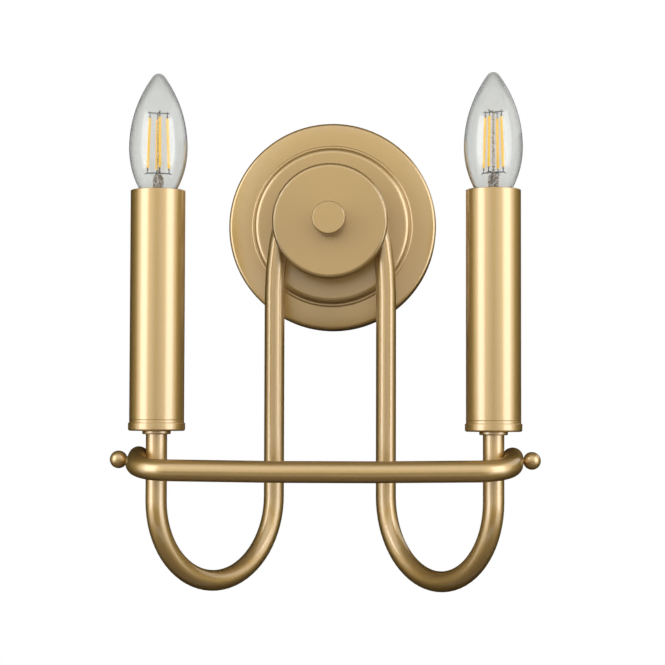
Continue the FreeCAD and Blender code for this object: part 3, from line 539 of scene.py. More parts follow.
def material(name, build):
    """The material of this name, built on its first use."""
    found = bpy.data.materials.get(name)
    if found:
        return found
    new = bpy.data.materials.new(name)
    new.use_nodes = True
    tree = new.node_tree
    tree.nodes.clear()
    shader = build(tree)
    node(tree, "OutputMaterial", {"Surface": shader.outputs[0]})
    return new


def noise(tree, size, detail, roughness=0.5):
    """Noise in object coordinates, in grains of a size in metres."""
    place = node(tree, "TexCoord").outputs["Object"]
    return node(tree, "TexNoise", {"Vector": place, "Scale": 1 / size, "Detail": detail,
                                   "Roughness": roughness}).outputs["Fac"]


def between(tree, amount, low, high):
    """A colour between two tones, by an amount from 0 to 1."""
    return node(tree, "Mix", {0: amount, 6: low, 7: high}, data_type="RGBA").outputs[2]


def bumps(tree, height, strength, depth):
    """The surface's direction on bumps of a depth in metres."""
    return node(tree, "Bump", {"Height": height, "Strength": strength, "Distance": depth}).outputs[0]


def speckled(tree, low, high, grain):
    """A colour that wavers between two tones in grains of a size in metres, and the grain itself."""
    spread = node(tree, "MapRange", {"Value": noise(tree, grain, 2.0, 0.6), "From Min": 0.3, "From Max": 0.7})
    return between(tree, spread.outputs[0], low, high), spread.outputs[0]


def satin_gold():
    """Steel with a sprayed satin gold lacquer. Metal flakes lie in all directions, so the gloss
    is soft and has no brushing. They show as a faint speckle."""
    colours = bpy.context.scene.sconce_colours

    def build(tree):
        # Real flakes are 0.05 mm, too fine to show, so they are drawn 0.55 mm wide.
        tone, grain = speckled(tree, shade(colours.gold, 0.93), shade(colours.gold, 1.05), 0.55 * MM)
        rough = node(tree, "MapRange", {"Value": grain, "To Min": 0.48, "To Max": 0.56})
        orange_peel = noise(tree, 1.2 * MM, 1.0)
        # The dark specular tint paints shade along the outlines at grazing angles, beside the lacquer's own
        # edge tint.
        return node(tree, "BsdfPrincipled", {
            "Base Color": tone, "Metallic": 1.0, "Roughness": rough.outputs[0],
            "Specular Tint": colour(colours.gold_edge_shade), "Coat Weight": 1.0, "Coat Roughness": 0.2,
            "Coat IOR": 2.2, "Normal": bumps(tree, orange_peel, 0.06, 0.1 * MM)})

    return material("satin_gold_lacquer_sprayed", build)


def plain(name, low, high, grain, rough, metal=True):
    """A plain metal, or a moulded plastic or rubber with the mould's fine grain in its surface. Its
    two tones and its gloss waver in grains of a size in millimetres."""
    def build(tree):
        tone, grains = speckled(tree, low, high, grain * MM)
        gloss = node(tree, "MapRange", {"Value": grains, "To Min": rough[0], "To Max": rough[1]})
        inputs = {"Base Color": tone, "Metallic": 1.0 if metal else 0.0, "Roughness": gloss.outputs[0]}
        if not metal:
            inputs["Normal"] = bumps(tree, grains, 0.1, 0.05 * MM)
        return node(tree, "BsdfPrincipled", inputs)

    return material(name, build)


def zinc_plate():
    """Steel with bright zinc plating: cool grey with a fine crystalline mottle."""
    text = bpy.context.scene.sconce_colours.zinc
    return plain("zinc_plated_steel", shade(text, 0.8), shade(text, 1.05), 1.5, (0.3, 0.48))


def black_oxide():
    """Steel blackened in hot salts: nearly black with a dull oily gloss."""
    return plain("black_oxide_steel", colour("#17171A"), colour("#2A2A2E"), 0.8, (0.38, 0.55))


def green_dyed():
    """Steel with green dyed plating, as ground screws have."""
    return plain("green_dyed_steel", colour("#2E7A45"), colour("#4FA165"), 0.8, (0.3, 0.45))


def bare_brass():
    """Brass as turned or drawn: warm yellow with slightly darker handled patches."""
    text = bpy.context.scene.sconce_colours.brass
    return plain("brass_drawn", shade(text, 0.78), shade(text, 1.0), 1.8, (0.22, 0.4))


def nickel_plate():
    """Brass with nickel plating on the bulb's screw base: a warm grey shine."""
    text = bpy.context.scene.sconce_colours.nickel
    return plain("nickel_plated_brass", shade(text, 0.85), shade(text, 1.0), 1.2, (0.2, 0.34))


def bulb_wire():
    """Nickel-iron wire, drawn: grey with a dull shine."""
    return plain("nickel_iron_wire_drawn", colour("#3C3936"), colour("#6A665F"), 0.8, (0.3, 0.45))


def connector_plastic():
    """Polypropylene, moulded: a flat orange with a soft gloss."""
    text = bpy.context.scene.sconce_colours.connector
    return plain("polypropylene_moulded_orange", shade(text, 0.85), shade(text, 1.0), 0.9, (0.38, 0.5), False)


def lead_rubber():
    """Rubber insulation, extruded: dull near-black with a powdery bloom."""
    text = bpy.context.scene.sconce_colours.rubber
    return plain("rubber_extruded_black", shade(text, 0.8), shade(text, 1.6), 1.1, (0.55, 0.75), False)


def holder_plastic():
    """Phenolic, compression moulded: dense black with a hard gloss."""
    return plain("phenolic_moulded_black", colour("#161514"), colour("#242220"), 0.7, (0.28, 0.42), False)


def clear_glass():
    """Soda-lime glass, blown thin. It takes a little of the light, so the bulb's inside looks pale
    grey. Its dark grey-green outline is painted shade: the base colour darkens where the eye looks
    along the wall, and the painted band is broader towards the tip."""
    c = bpy.context.scene.sconce_candles
    tip = c.neck_height + c.bulb_height - c.cup_drop

    def build(tree):
        place = node(tree, "TexCoord").outputs["Object"]
        height = node(tree, "SeparateXYZ", {0: place}).outputs["Z"]
        # Painted shade: the base colour turns dark grey-green at grazing angles, in a broader band over the
        # last 22 mm below the tip.
        start = node(tree, "MapRange", {
            "Value": height, "From Min": tip - 22 * MM, "From Max": tip, "To Min": 0.5, "To Max": 0.0})
        facing = node(tree, "LayerWeight", {"Blend": 0.5})
        edge = node(tree, "MapRange", {
            "Value": facing.outputs["Facing"], "From Min": start.outputs[0], "From Max": 1.0})
        waves = noise(tree, 14 * MM, 0.0)
        return node(tree, "BsdfPrincipled", {
            "Base Color": between(tree, edge.outputs[0], colour("#E8E9E7"), colour("#3C423C")),
            "Roughness": 0.11, "IOR": 1.5, "Transmission Weight": 1.0,
            "Normal": bumps(tree, waves, 0.05, 0.2 * MM)})

    return material("soda_lime_glass_blown", build)


def stem_glass():
    """Lead glass, pressed round the wires: milky white with brown specks. The specks are painted light
    and dark patches in place of what the pinched glass refracts; the same noise bumps the surface.
    """
    def build(tree):
        # Painted light and dark patches in place of refraction, which also bump the surface.
        crinkles_and_painted_refraction = noise(tree, 1.0 * MM, 1.0)
        spread = node(tree, "MapRange", {"Value": crinkles_and_painted_refraction, "From Min": 0.43, "From Max": 0.57}).outputs[0]
        return node(tree, "BsdfPrincipled", {
            "Base Color": between(tree, spread, colour("#9A7E68"), colour("#FFFDF8")),
            "Roughness": 0.12, "IOR": 1.5, "Transmission Weight": 0.15,
            "Normal": bumps(tree, spread, 0.3, 0.2 * MM)})

    return material("lead_glass_pressed", build)


def phosphor():
    """Silicone with yellow phosphor, cast over a strip of chips: a saturated yellow with a painted
    glow. It gives off a little light of its own though the bulb is off, in place of the studio's
    blue light that the phosphor turns to yellow."""
    text = bpy.context.scene.sconce_colours.phosphor

    def build(tree):
        tone = speckled(tree, shade(text, 0.9), shade(text, 1.1), 0.5 * MM)[0]
        # Painted glow: the emission lights the filaments though the bulb is not lit.
        return node(tree, "BsdfPrincipled", {
            "Base Color": tone, "Roughness": 0.5, "Emission Color": colour(text), "Emission Strength": 0.55})

    return material("phosphor_silicone_cast", build)


FINISHES = {
    "satin_gold": satin_gold, "zinc_steel": zinc_plate, "black_steel": black_oxide,
    "green_steel": green_dyed, "plain_brass": bare_brass, "connector_plastic": connector_plastic,
    "lead_rubber": lead_rubber, "holder_plastic": holder_plastic, "bulb_nickel": nickel_plate,
    "clear_glass": clear_glass, "stem_glass": stem_glass, "filament_phosphor": phosphor,
    "bulb_wire": bulb_wire,
}


# ---------------------------------------------------------------- wall parts

def wire_hole(piece, face):
    """Drills the hole for both lamp leads through a pan's face."""
    radius, up = bpy.context.scene.sconce_wall.wire_way_radius, bpy.context.scene.sconce_arms.entry_height
    reach = 4 * MM
    rings = [(0, -reach), (radius, -reach), (radius, reach), (0, reach)]
    carve(piece, lathe("drill", rings, (0, -face, up), FRONT, 48))


class SCONCE_OT_canopy(bpy.types.Operator):
    """Turns the stepped canopy pan with its rolled edge and the hole for the leads"""
    bl_idname = "sconce.canopy"
    bl_label = "Canopy"

    def execute(self, context):
        s = context.scene.sconce_wall
        r, depth, wall, edge = s.canopy_radius, s.canopy_depth, s.canopy_wall, s.canopy_edge
        step, top, bore = s.step_radius, depth + s.step_rise, s.nipple_radius + PLAY
        fall_at_rim = 1.0 * MM

        def dome(radius):
            """How far the face has fallen away at a radius, as spun sheet does towards its rim."""
            return fall_at_rim * (max(0, radius - step) / (r - step)) ** 2

        face = [step + (r - edge - step) * part / 10 for part in range(10, 0, -1)]
        # The step's foot has a small crease.
        corners = ([(r - wall, 0), (r, 0, 0.3 * MM), (r, depth - dome(r), edge)]
                   + [(radius, depth - dome(radius)) for radius in face]
                   + [(step + 0.1 * MM, depth, 0.1 * MM), (step, top, 1.1 * MM), (bore, top, 0.15 * MM),
                      (bore, top - wall), (step - wall, top - wall), (step - wall, depth - wall)]
                   + [(radius - wall, depth - wall - dome(radius)) for radius in face[::-1]]
                   + [(r - wall, depth - wall - dome(r), 0.4 * MM)])
        piece = turned("canopy_pan", corners, ORIGIN, FRONT, 160, 6)
        wire_hole(piece, top)
        hand_over(piece, "canopy")
        return {"FINISHED"}


class SCONCE_OT_tier(bpy.types.Operator):
    """Turns the smaller pan that sits on the canopy's step"""
    bl_idname = "sconce.tier"
    bl_label = "Second tier"

    def execute(self, context):
        s = context.scene.sconce_wall
        face = s.canopy_depth + s.step_rise
        top, wall, r, bore = face + s.tier_depth, s.tier_wall, s.tier_radius, s.nipple_radius + PLAY
        piece = turned("second_tier_pan", [
            (r - wall, face), (r, face, 0.2 * MM), (r, top, s.tier_edge * 2), (bore, top, 0.15 * MM),
            (bore, top - wall), (r - wall, top - wall, s.tier_edge * 2 - wall)], ORIGIN, FRONT, 128, 6)
        wire_hole(piece, top)
        hand_over(piece, "tier_plate")
        return {"FINISHED"}


class SCONCE_OT_disc(bpy.types.Operator):
    """Turns the front disc and the round cap nut in its middle"""
    bl_idname = "sconce.disc"
    bl_label = "Front disc and cap nut"

    def execute(self, context):
        s = context.scene.sconce_wall
        bore, back, face = s.nipple_radius + PLAY, s.disc_back, s.disc_back + s.disc_depth
        disc = turned("front_disc_turned", [
            (bore, back), (s.disc_radius, back, 0.6 * MM), (s.disc_radius, face, s.disc_edge),
            (bore, face)], ORIGIN, FRONT, 128)
        hand_over(disc, "front_disc")
        r, end = s.cap_radius, face + s.cap_length
        thread_end = end - 6 * MM
        cap = turned("cap_nut_turned", [
            (0, thread_end), (bore, thread_end), (bore, face), (r - 0.5 * MM, face), (r, face + 0.5 * MM),
            (r, end, 1.0 * MM), (0, end)], ORIGIN, FRONT, 72)
        hand_over(cap, "cap_nut", body="cap")
        return {"FINISHED"}


# ---------------------------------------------------------------- arms and hoop

class SCONCE_OT_arms(bpy.types.Operator):
    """Bends the two arm tubes from the hub down round the U and up into the candle cups"""
    bl_idname = "sconce.arms"
    bl_label = "Arms"

    def execute(self, context):
        s, c = context.scene.sconce_arms, context.scene.sconce_candles
        lean_end = s.inner_leg - s.lean_bend * (1 - math.cos(s.lean))
        top_end = s.entry_height - s.top_bend * (1 - math.sin(s.lean))
        lean_start = top_end - s.lean_bend * math.sin(s.lean)
        top_start = lean_end - s.top_bend * math.cos(s.lean)
        across = Vector((s.outer_leg - s.inner_leg, -(s.outer_front - s.inner_front), 0))
        leg_top = -c.cup_drop + 8.5 * MM
        moves = [
            ("run", top_start - s.entry_gap),
            ("bend", s.top_bend, (0, 1, 0), math.pi / 2 - s.lean),
            ("bend", s.lean_bend, (0, 1, 0), s.lean),
            ("run", lean_start + s.bend_drop),
            ("bend", across.length / 2, DOWN.cross(across), math.pi),
            ("run", leg_top + s.bend_drop),
        ]
        start = (s.entry_gap, -s.inner_front, s.entry_height)
        right = bend_tube("arm", s.tube_radius, start, RIGHT, moves, 48, s.tube_wall)
        both_sides(right, "arm_tube", "arm", mirrored=True)
        keep_solids("plain_brass", "screw_inserts")
        return {"FINISHED"}


def hoop_flat(s):
    """The hoop in its own flat frame: its right rear end, the heading and length of the run from
    there, the angle of a corner and of half the bar."""
    side = Vector((s.hoop_side, 0, 0))
    forward = Vector((-math.sin(s.hoop_side_lean), -math.cos(s.hoop_side_lean), 0))
    inward = Vector((-math.cos(s.hoop_side_lean), math.sin(s.hoop_side_lean), 0))
    bow_centre = Vector((0, s.hoop_bow - s.hoop_reach, 0))
    offset = side + inward * s.hoop_corner - bow_centre
    along = offset.dot(forward)
    run = -along + math.sqrt(along ** 2 - offset.dot(offset) + (s.hoop_bow - s.hoop_corner) ** 2)
    corner_centre = side + inward * s.hoop_corner + forward * run
    outward = (corner_centre - bow_centre).normalized()
    corner, half_bar = (-inward).angle(outward), math.atan2(outward.x, -outward.y)
    return side - forward * s.hoop_tail, forward, run + s.hoop_tail, corner, half_bar


class SCONCE_OT_hoop(bpy.types.Operator):
    """Bends the bowed hoop, notches it over the outer legs and closes its rear ends"""
    bl_idname = "sconce.hoop"
    bl_label = "Hoop"

    def execute(self, context):
        s = context.scene.sconce_arms
        rear, forward, run, corner, half_bar = hoop_flat(s)
        side_run, bend = ("run", run), ("bend", s.hoop_corner, DOWN, corner)
        bar = ("bend", s.hoop_bow, DOWN, 2 * half_bar)
        hoop = bend_tube("hoop_tube", s.tube_radius, rear, forward, [side_run, bend, bar, bend, side_run],
                         48, s.tube_wall)
        r, inner, cap, depth = s.tube_radius, s.tube_radius - s.tube_wall - PLAY, 1.0 * MM, 4 * MM
        corners = [(0, -depth), (inner, -depth), (inner, 0), (r, 0), (r, cap, 0.6 * MM), (0, cap)]
        plugs = []
        for side in (1, -1):
            backwards = Vector((-forward.x * side, -forward.y, 0))
            plugs.append(turned("plug", corners, (rear.x * side, rear.y, 0), backwards, 40))
        plug = joined(plugs, "hoop_plugs")
        middle = Matrix.Translation((0, -s.outer_front, -s.hoop_drop))
        for piece in (hoop, plug):
            applied(piece, middle @ Matrix.Rotation(s.hoop_tilt, 4, "X"))
        notch_reach, screw_hole, screw_reach = 20 * MM, 1.95 * MM, 22 * MM
        for side in (1, -1):
            leg = Vector((side * s.outer_leg, -s.outer_front, -s.hoop_drop))
            drill(hoop, s.tube_radius + PLAY, leg + DOWN * notch_reach, UP, 2 * notch_reach, 64)
            drill(hoop, screw_hole, leg, RIGHT * side, screw_reach, 24)
        hand_over(hoop, "hoop")
        hand_over(plug, "hoop_end_plugs")
        return {"FINISHED"}


class SCONCE_OT_ball_screws(bpy.types.Operator):
    """Turns the two ball-headed screws that hold the hoop"""
    bl_idname = "sconce.ball_screws"
    bl_label = "Ball screws"

    def execute(self, context):
        s = context.scene.sconce_arms
        seat = s.hoop_side + s.tube_radius + 0.15 * MM
        tip = s.outer_leg + s.tube_radius - 4.2 * MM
        shank, chamfer = 1.9 * MM, 0.4 * MM
        start = math.asin((seat - s.ball_place) / s.ball_radius)
        ball = arc(0, s.ball_place, s.ball_radius, start, math.pi / 2, 12)
        rings = ([(0, tip), (shank - chamfer, tip), (shank, tip + chamfer), (shank, seat)]
                 + ball[:-1] + [(0, s.ball_place + s.ball_radius)])
        right = lathe("ball_screw", rings, (0, -s.outer_front, -s.hoop_drop), RIGHT, 48)
        both_sides(right, "ball_screw_turned", "ball_screw", "ball_screw", mirrored=True)
        return {"FINISHED"}


# ---------------------------------------------------------------- candles

class SCONCE_OT_cups(bpy.types.Operator):
    """Turns the shallow candle cups and the rings under them"""
    bl_idname = "sconce.cups"
    bl_label = "Candle cups"

    def execute(self, context):
        c, bore = context.scene.sconce_candles, context.scene.sconce_arms.tube_radius + PLAY
        ring = turned("ring", [(bore, -2 * MM), (c.ring_radius, -2 * MM, 0.7 * MM),
                               (c.ring_radius, 0, 0.3 * MM), (bore, 0)], candle_foot(), UP, 64)
        both_sides(ring, "candle_ring_turned", "candle_ring")
        spigot, floor = c.sleeve_radius - c.sleeve_wall - 0.1 * MM, 1.5 * MM
        spigot_top = c.cup_height + 6 * MM
        cup = turned("cup", [
            (bore, 0), (c.cup_radius, 0, 1.2 * MM), (c.cup_radius, c.cup_band, 0.4 * MM),
            (c.sleeve_radius, c.cup_band, 0.15 * MM), (c.sleeve_radius, c.cup_height, 0.2 * MM),
            (spigot, c.cup_height), (spigot, spigot_top, 0.3 * MM), (spigot - floor, spigot_top),
            (spigot - floor, floor), (bore, floor)], candle_foot())
        both_sides(cup, "candle_cup_spun", "candle_cup")
        nut = hex_nut("nut", candle_foot() + UP * 3 * MM, UP, corner=9.6 * MM, bore=bore, depth=4 * MM)
        both_sides(nut, "cup_nut_hexagon", "cup_nut", slot="zinc_steel")
        return {"FINISHED"}


class SCONCE_OT_sleeves(bpy.types.Operator):
    """Turns the tall candle sleeves with their eased ends"""
    bl_idname = "sconce.sleeves"
    bl_label = "Candle sleeves"

    def execute(self, context):
        c = context.scene.sconce_candles
        low, high = c.cup_height, c.cup_height + c.sleeve_length
        outer, inner = c.sleeve_radius, c.sleeve_radius - c.sleeve_wall
        sleeve = turned("sleeve", [(inner, low), (outer, low, 0.35 * MM), (outer, high, 0.45 * MM),
                                   (inner, high, 0.4 * MM)], candle_foot())
        both_sides(sleeve, "candle_sleeve_tube", "candle_sleeve")
        return {"FINISHED"}


class SCONCE_OT_holders(bpy.types.Operator):
    """Moulds the lamp holders' bodies with their ribs and presses their threaded shells"""
    bl_idname = "sconce.holders"
    bl_label = "Lamp holders"

    def execute(self, context):
        top = context.scene.sconce_candles.neck_height - 3 * MM
        foot, r, bore, screw_hole, groove = top - 23 * MM, 10.6 * MM, 6.45 * MM, 2 * MM, mm((1.4, 1.4, 18))
        floor, groove_middle = foot + 7 * MM, foot + 9 * MM
        body = turned("body", [
            (screw_hole, foot), (r, foot, 0.8 * MM), (r, top, 0.6 * MM), (bore, top, 0.4 * MM), (bore, floor),
            (screw_hole, floor)], candle_foot(), UP, 72)
        for number in range(6):
            angle = math.radians(60 * number + 30)
            out = Vector((math.cos(angle), math.sin(angle), 0))
            tool = block("tool", groove, ORIGIN)
            tool.matrix_world = (Matrix.Translation(candle_foot() + out * (r + 0.1 * MM) + UP * groove_middle)
                                 @ Matrix.Rotation(angle, 4, "Z"))
            carve(body, tool)
        both_sides(body, "holder_body_moulded", "holder_body", slot="holder_plastic")

        low, high, wall, crest = foot + 8.5 * MM, top - 1.5 * MM, 0.35 * MM, 6.4 * MM
        rim, thread = crest - 0.05 * MM, ridges(crest, depth=0.12 * MM, pitch=2.5 * MM, start=low, end=high)
        outer = [(rim, low)] + thread + [(rim, high)]
        inner = [(radius - wall, height) for radius, height in outer[::-1]]
        shell = lathe("shell", outer + inner + outer[:1], candle_foot(), UP, 64)
        both_sides(shell, "holder_shell_pressed", "holder_shell", slot="plain_brass")
        keep_solids("zinc_steel", "holder_post_left", "holder_post_right")
        keep_solids("plain_brass", "holder_contact_left", "holder_contact_right")
        return {"FINISHED"}


class SCONCE_OT_glass(bpy.types.Operator):
    """Blows the flame-shaped bulbs with their inner and outer faces"""
    bl_idname = "sconce.glass"
    bl_label = "Bulb glass"

    def execute(self, context):
        c = context.scene.sconce_candles
        widening = c.bulb_radius - c.bulb_neck
        lower = (widening ** 2 + c.bulb_belly ** 2) / (2 * widening)
        rise = c.bulb_height - c.bulb_belly - c.bulb_nose
        flank = (c.bulb_radius ** 2 + rise ** 2 - c.bulb_nose ** 2) / (2 * (c.bulb_radius - c.bulb_nose))
        belly = c.neck_height + c.bulb_belly
        nose = c.neck_height + c.bulb_height - c.bulb_nose
        end = math.asin(rise / (flank - c.bulb_nose))

        def face(wall):
            """Rings of one face of the glass, from the neck to the tip."""
            start = math.asin(c.bulb_belly / (lower - wall))
            return (arc(c.bulb_radius - lower, belly, lower - wall, -start, 0, 14)
                    + arc(c.bulb_radius - flank, belly, flank - wall, 0, end, 24)[1:]
                    + arc(0, nose, c.bulb_nose - wall, end, math.pi / 2, 8)[1:-1]
                    + [(0, nose + c.bulb_nose - wall)])

        glass = lathe("glass", face(c.glass_wall)[::-1] + face(0), candle_foot(), UP, 72)
        both_sides(glass, "bulb_glass_blown", "bulb_glass", "bulb", "clear_glass", crease=60)
        return {"FINISHED"}


class SCONCE_OT_bulb_inside(bpy.types.Operator):
    """Builds the threaded base, the pressed stem, the filaments and their wires in both bulbs"""
    bl_idname = "sconce.bulb_inside"
    bl_label = "Bulb base and filaments"

    def execute(self, context):
        neck = candle_foot() + UP * context.scene.sconce_candles.neck_height
        seat = -13
        base = (mm([(0, seat + 1.2), (3.2, seat + 1.0), (5.3, seat + 0.6)])
                + mm(ridges(5.85, depth=0.35, pitch=2.4, start=seat + 0.8, end=-2.2))
                + mm([(5.5, -1.9), (6.35, -1.5), (6.6, -1.2), (6.6, 0), (0, 0)]))
        base = lathe("base", base, neck, UP, 64)
        both_sides(base, "bulb_base_threaded", "bulb_base", "bulb", "bulb_nickel")
        insulator = mm([(0, seat - 2.2), (2.4, seat - 2.2, 0.5), (4.9, seat + 0.6, 0.5), (0, seat + 0.9)])
        insulator = turned("insulator", insulator, neck, UP, 40)
        both_sides(insulator, "bulb_insulator", None, "bulb", "holder_plastic")
        tip = mm([(0, seat - 3.2), (1.3, seat - 3.1), (2.1, seat - 2.6), (2.2, seat - 2.15), (0, seat - 2.1)])
        both_sides(lathe("tip", tip, neck, UP, 32), "bulb_tip_contact", None, "bulb", "bulb_nickel")

        # The stem is a round foot, pressed flat to hold the wires, with a thin rod on top. Each row
        # gives its half widths along x and y and its height.
        sides = 32
        rows = mm([(5.2, 5.2, 0), (4.4, 4.4, 2.0), (3.4, 3.4, 4.5), (3.0, 2.7, 7.0), (3.1, 2.0, 9.0),
                   (3.2, 1.5, 11.0), (3.2, 1.5, 14.2), (2.9, 1.3, 15.3), (1.6, 1.0, 16.0), (0.7, 0.7, 16.8),
                   (0.7, 0.7, 53.8), (0.45, 0.45, 54.3)])
        stem = start_circle("stem", rows[0][0], neck, UP, sides)
        for before, after in zip(rows, rows[1:]):
            bpy.ops.mesh.extrude_edges_move(TRANSFORM_OT_translate={"value": (0, 0, after[2] - before[2])})
            bpy.ops.transform.resize(value=(after[0] / before[0], after[1] / before[1], 1),
                                     center_override=neck + UP * after[2])
        bpy.ops.mesh.edge_face_add()
        select_ring(stem, range(sides))
        bpy.ops.mesh.edge_face_add()
        close_up(stem)
        both_sides(stem, "bulb_stem_pressed", "bulb_stem", "bulb", "stem_glass", crease=60)

        def at(right, up):
            """A place beside the bulb's axis, in millimetres from its neck."""
            return neck + RIGHT * right * MM + UP * up * MM

        foot_out, head_out, foot_up, head_up, lower, upper = 6.4, 5.3, 20, 50.2, 17.2, 53.2
        foot, head = at(foot_out, foot_up), at(head_out, head_up)
        axis, reach, r = (head - foot).normalized(), (head - foot).length, 0.8 * MM
        corners = [(0, 0), (r, 0, 0.35 * MM), (r, reach, 0.35 * MM), (0, reach)]
        strips = quartet(turned("strip", corners, foot, axis, 20), neck, "filaments")

        parts = [ease(block("tab", mm((0.9, 0.25, 1.8)), end + axis * way * 0.6 * MM), 0.06 * MM, 1)
                 for end, way in ((foot, -1), (head, 1))]
        for radius, *places in (
                (0.3, (0.6, lower), (foot_out + 0.2, lower - 0.3), (foot_out + 0.1, foot_up - 0.6)),
                (0.3, (2.0, lower), (7.0, lower - 0.2), (8.0, lower - 1.0)),
                (0.3, (0.5, upper), (6.6, upper)),
                (0.25, (head_out, head_up + 0.6), (head_out, upper + 1.0))):
            parts.append(wire_between([at(*place) for place in places], radius * MM, 0.5 * MM))
        wires = [quartet(joined(parts, "wires"), neck, "wires")]
        for side in (1, -1):
            lead = [at(side * 1.6, 9), at(side * 1.9, 15.6), at(side * 0.9, lower)]
            wires.append(wire_between(lead, 0.3 * MM, 0.5 * MM))
        turns = (62, 16)
        both_sides(strips, "bulb_filaments_cast", "bulb_filaments", "bulb", "filament_phosphor", turns=turns)
        both_sides(joined(wires, "wires"), "bulb_wires_drawn", "bulb_wires", "bulb", "bulb_wire", turns=turns)
        return {"FINISHED"}


# ---------------------------------------------------------------- behind the disc

class SCONCE_OT_strap(bpy.types.Operator):
    """Cuts the slotted strap with its nut, ground screw and threaded centre tube"""
    bl_idname = "sconce.strap"
    bl_label = "Strap and centre tube"

    def execute(self, context):
        s = context.scene.sconce_wall
        bore, middle, slot_out, screw_out = s.nipple_radius + PLAY, -1 * MM, 44.45 * MM, -24 * MM
        strap = block("mounting_strap_punched", mm((104, 2, 16)), (0, middle, 0))
        for side in (1, -1):
            place = (side * slot_out, middle, 0)
            carve(strap, slot_tool(place, FRONT, width=4.8 * MM, length=13 * MM, depth=6 * MM))
        drill(strap, bore, (0, 1 * MM, 0), FRONT, 4 * MM)
        drill(strap, 2.0 * MM, (screw_out, 1 * MM, 0), FRONT, 4 * MM, 32)
        hand_over(ease(strap, 0.25 * MM), "mounting_strap", slot="zinc_steel")

        nut = hex_nut("strap_nut_hexagon", (0, -2 * MM, 0), FRONT, corner=8 * MM, bore=bore, depth=3 * MM)
        hand_over(nut, "strap_nut", slot="zinc_steel")

        low, high = 0.4 * MM, s.disc_back + s.disc_depth + 12 * MM
        inner, root = s.nipple_radius - 1.5 * MM, s.nipple_radius - 0.4 * MM
        thread = ridges(s.nipple_radius, 0.3 * MM, 1.0 * MM, start=low + 0.4 * MM, end=high - 0.4 * MM)
        rings = [(inner, low), (root, low)] + thread + [(root, high), (inner, high), (inner, low)]
        tube = lathe("centre_tube_threaded", rings, ORIGIN, FRONT, 40)
        hand_over(tube, "centre_nipple", slot="zinc_steel", crease=25)

        rings = (mm([(0, 0.4), (1.7, 0.4)] + ridges(1.95, depth=0.2, pitch=0.7, start=0.5, end=1.9))
                 + rounded(mm([(1.8, 2.0), (4.4, 2.0), (4.4, 2.9, 0.3), (3.4, 4.4, 0.9), (0, 4.4)])))
        screw = lathe("ground_screw_headed", rings, (screw_out, 0, 0), FRONT, 40)
        for size in ((3.8, 1.4, 0.9), (0.9, 1.4, 3.8)):
            carve(screw, block("tool", mm(size), (screw_out, -4.3 * MM, 0)))
        hand_over(screw, "ground_screw", slot="green_steel")
        return {"FINISHED"}


class SCONCE_OT_hub(bpy.types.Operator):
    """Casts the hub behind the disc: soft cast corners first, then the machined bores"""
    bl_idname = "sconce.hub"
    bl_label = "Hub"

    def execute(self, context):
        s, a = context.scene.sconce_wall, context.scene.sconce_arms
        up, axis, face = a.entry_height, a.inner_front, s.canopy_depth + s.step_rise + s.tier_depth
        sweep, post, boss, grub_out, before = s.disc_back - face, 9.4 * MM, 8.5 * MM, 6.4 * MM, 1 * MM
        corners = mm([(0, 0), (20, 0), (20, 3, 0.5), (0, 3)])
        hub = turned("hub_cast", corners, (0, -face, 0), FRONT, 96)
        rods = [rod(post, (0, -face, 0), FRONT, sweep, 64),
                rod(boss, (0, -face, up), FRONT, axis - face, 64),
                rod(boss, (-10.5 * MM, -axis, up), RIGHT, 21 * MM, 64)]
        rods += [rod(4 * MM, (side * grub_out, -axis, up), UP, 9.6 * MM, 32) for side in (1, -1)]
        for other in rods:
            carve(hub, other, "UNION")
        apply_modifier(hub, "REMESH", mode="VOXEL", voxel_size=0.6 * MM)
        apply_modifier(hub, "SMOOTH", factor=0.5, iterations=5)
        drill(hub, s.nipple_radius + PLAY, (0, -face + before, 0), FRONT, sweep + 2 * before)
        drill(hub, s.wire_way_radius, (0, -face + before, up), FRONT, axis - face + before)
        drill(hub, a.tube_radius + PLAY, (-12 * MM, -axis, up), RIGHT, 24 * MM)
        for side in (1, -1):
            drill(hub, 2.05 * MM, (side * grub_out, -axis, up), UP, 12 * MM, 32)
        hand_over(hub, "hub_block", crease=50)
        keep_solids("black_steel", "hub_grub_screws")
        return {"FINISHED"}


class SCONCE_OT_wiring(bpy.types.Operator):
    """Moulds the two twist-on wire connectors with their grooved grips"""
    bl_idname = "sconce.wiring"
    bl_label = "Wiring"

    def execute(self, context):
        up, front, start, sides = context.scene.sconce_arms.entry_height, 12 * MM, 14 * MM, 48
        corners = mm([(0, 4), (2.6, 4), (2.6, 0), (5.5, 0, 0.5), (5.2, 7), (3.0, 20, 1.2), (0, 20)])
        right = turned("connector", corners, (start, -front, up), RIGHT, sides)
        open_up(right, "DESELECT")
        bpy.ops.mesh.select_mode(type="FACE")
        mesh = bmesh.from_edit_mesh(right.data)
        for face in mesh.faces:
            # Every third face round the tapered part is pressed in.
            middle = face.calc_center_median()
            strip = round(math.atan2(middle.z - up, middle.y + front) * sides / math.tau - 0.5)
            face.select = (7 * MM < middle.x - start < 19 * MM and -0.3 < face.normal.x < 0.5
                           and strip % 3 == 0)
        bmesh.update_edit_mesh(right.data)
        bpy.ops.mesh.extrude_region_shrink_fatten(TRANSFORM_OT_shrink_fatten={"value": -0.35 * MM})
        bpy.ops.mesh.select_mode(type="VERT")
        bpy.ops.object.mode_set(mode="OBJECT")
        left = copy_of(right, "connector", mirrored=True)
        outwards(left)
        both = joined([right, left], "wire_connectors_moulded")
        hand_over(both, "wire_connectors", slot="connector_plastic")
        keep_solids("lead_rubber", "lead_left", "lead_right")
        return {"FINISHED"}


# ---------------------------------------------------------------- studio

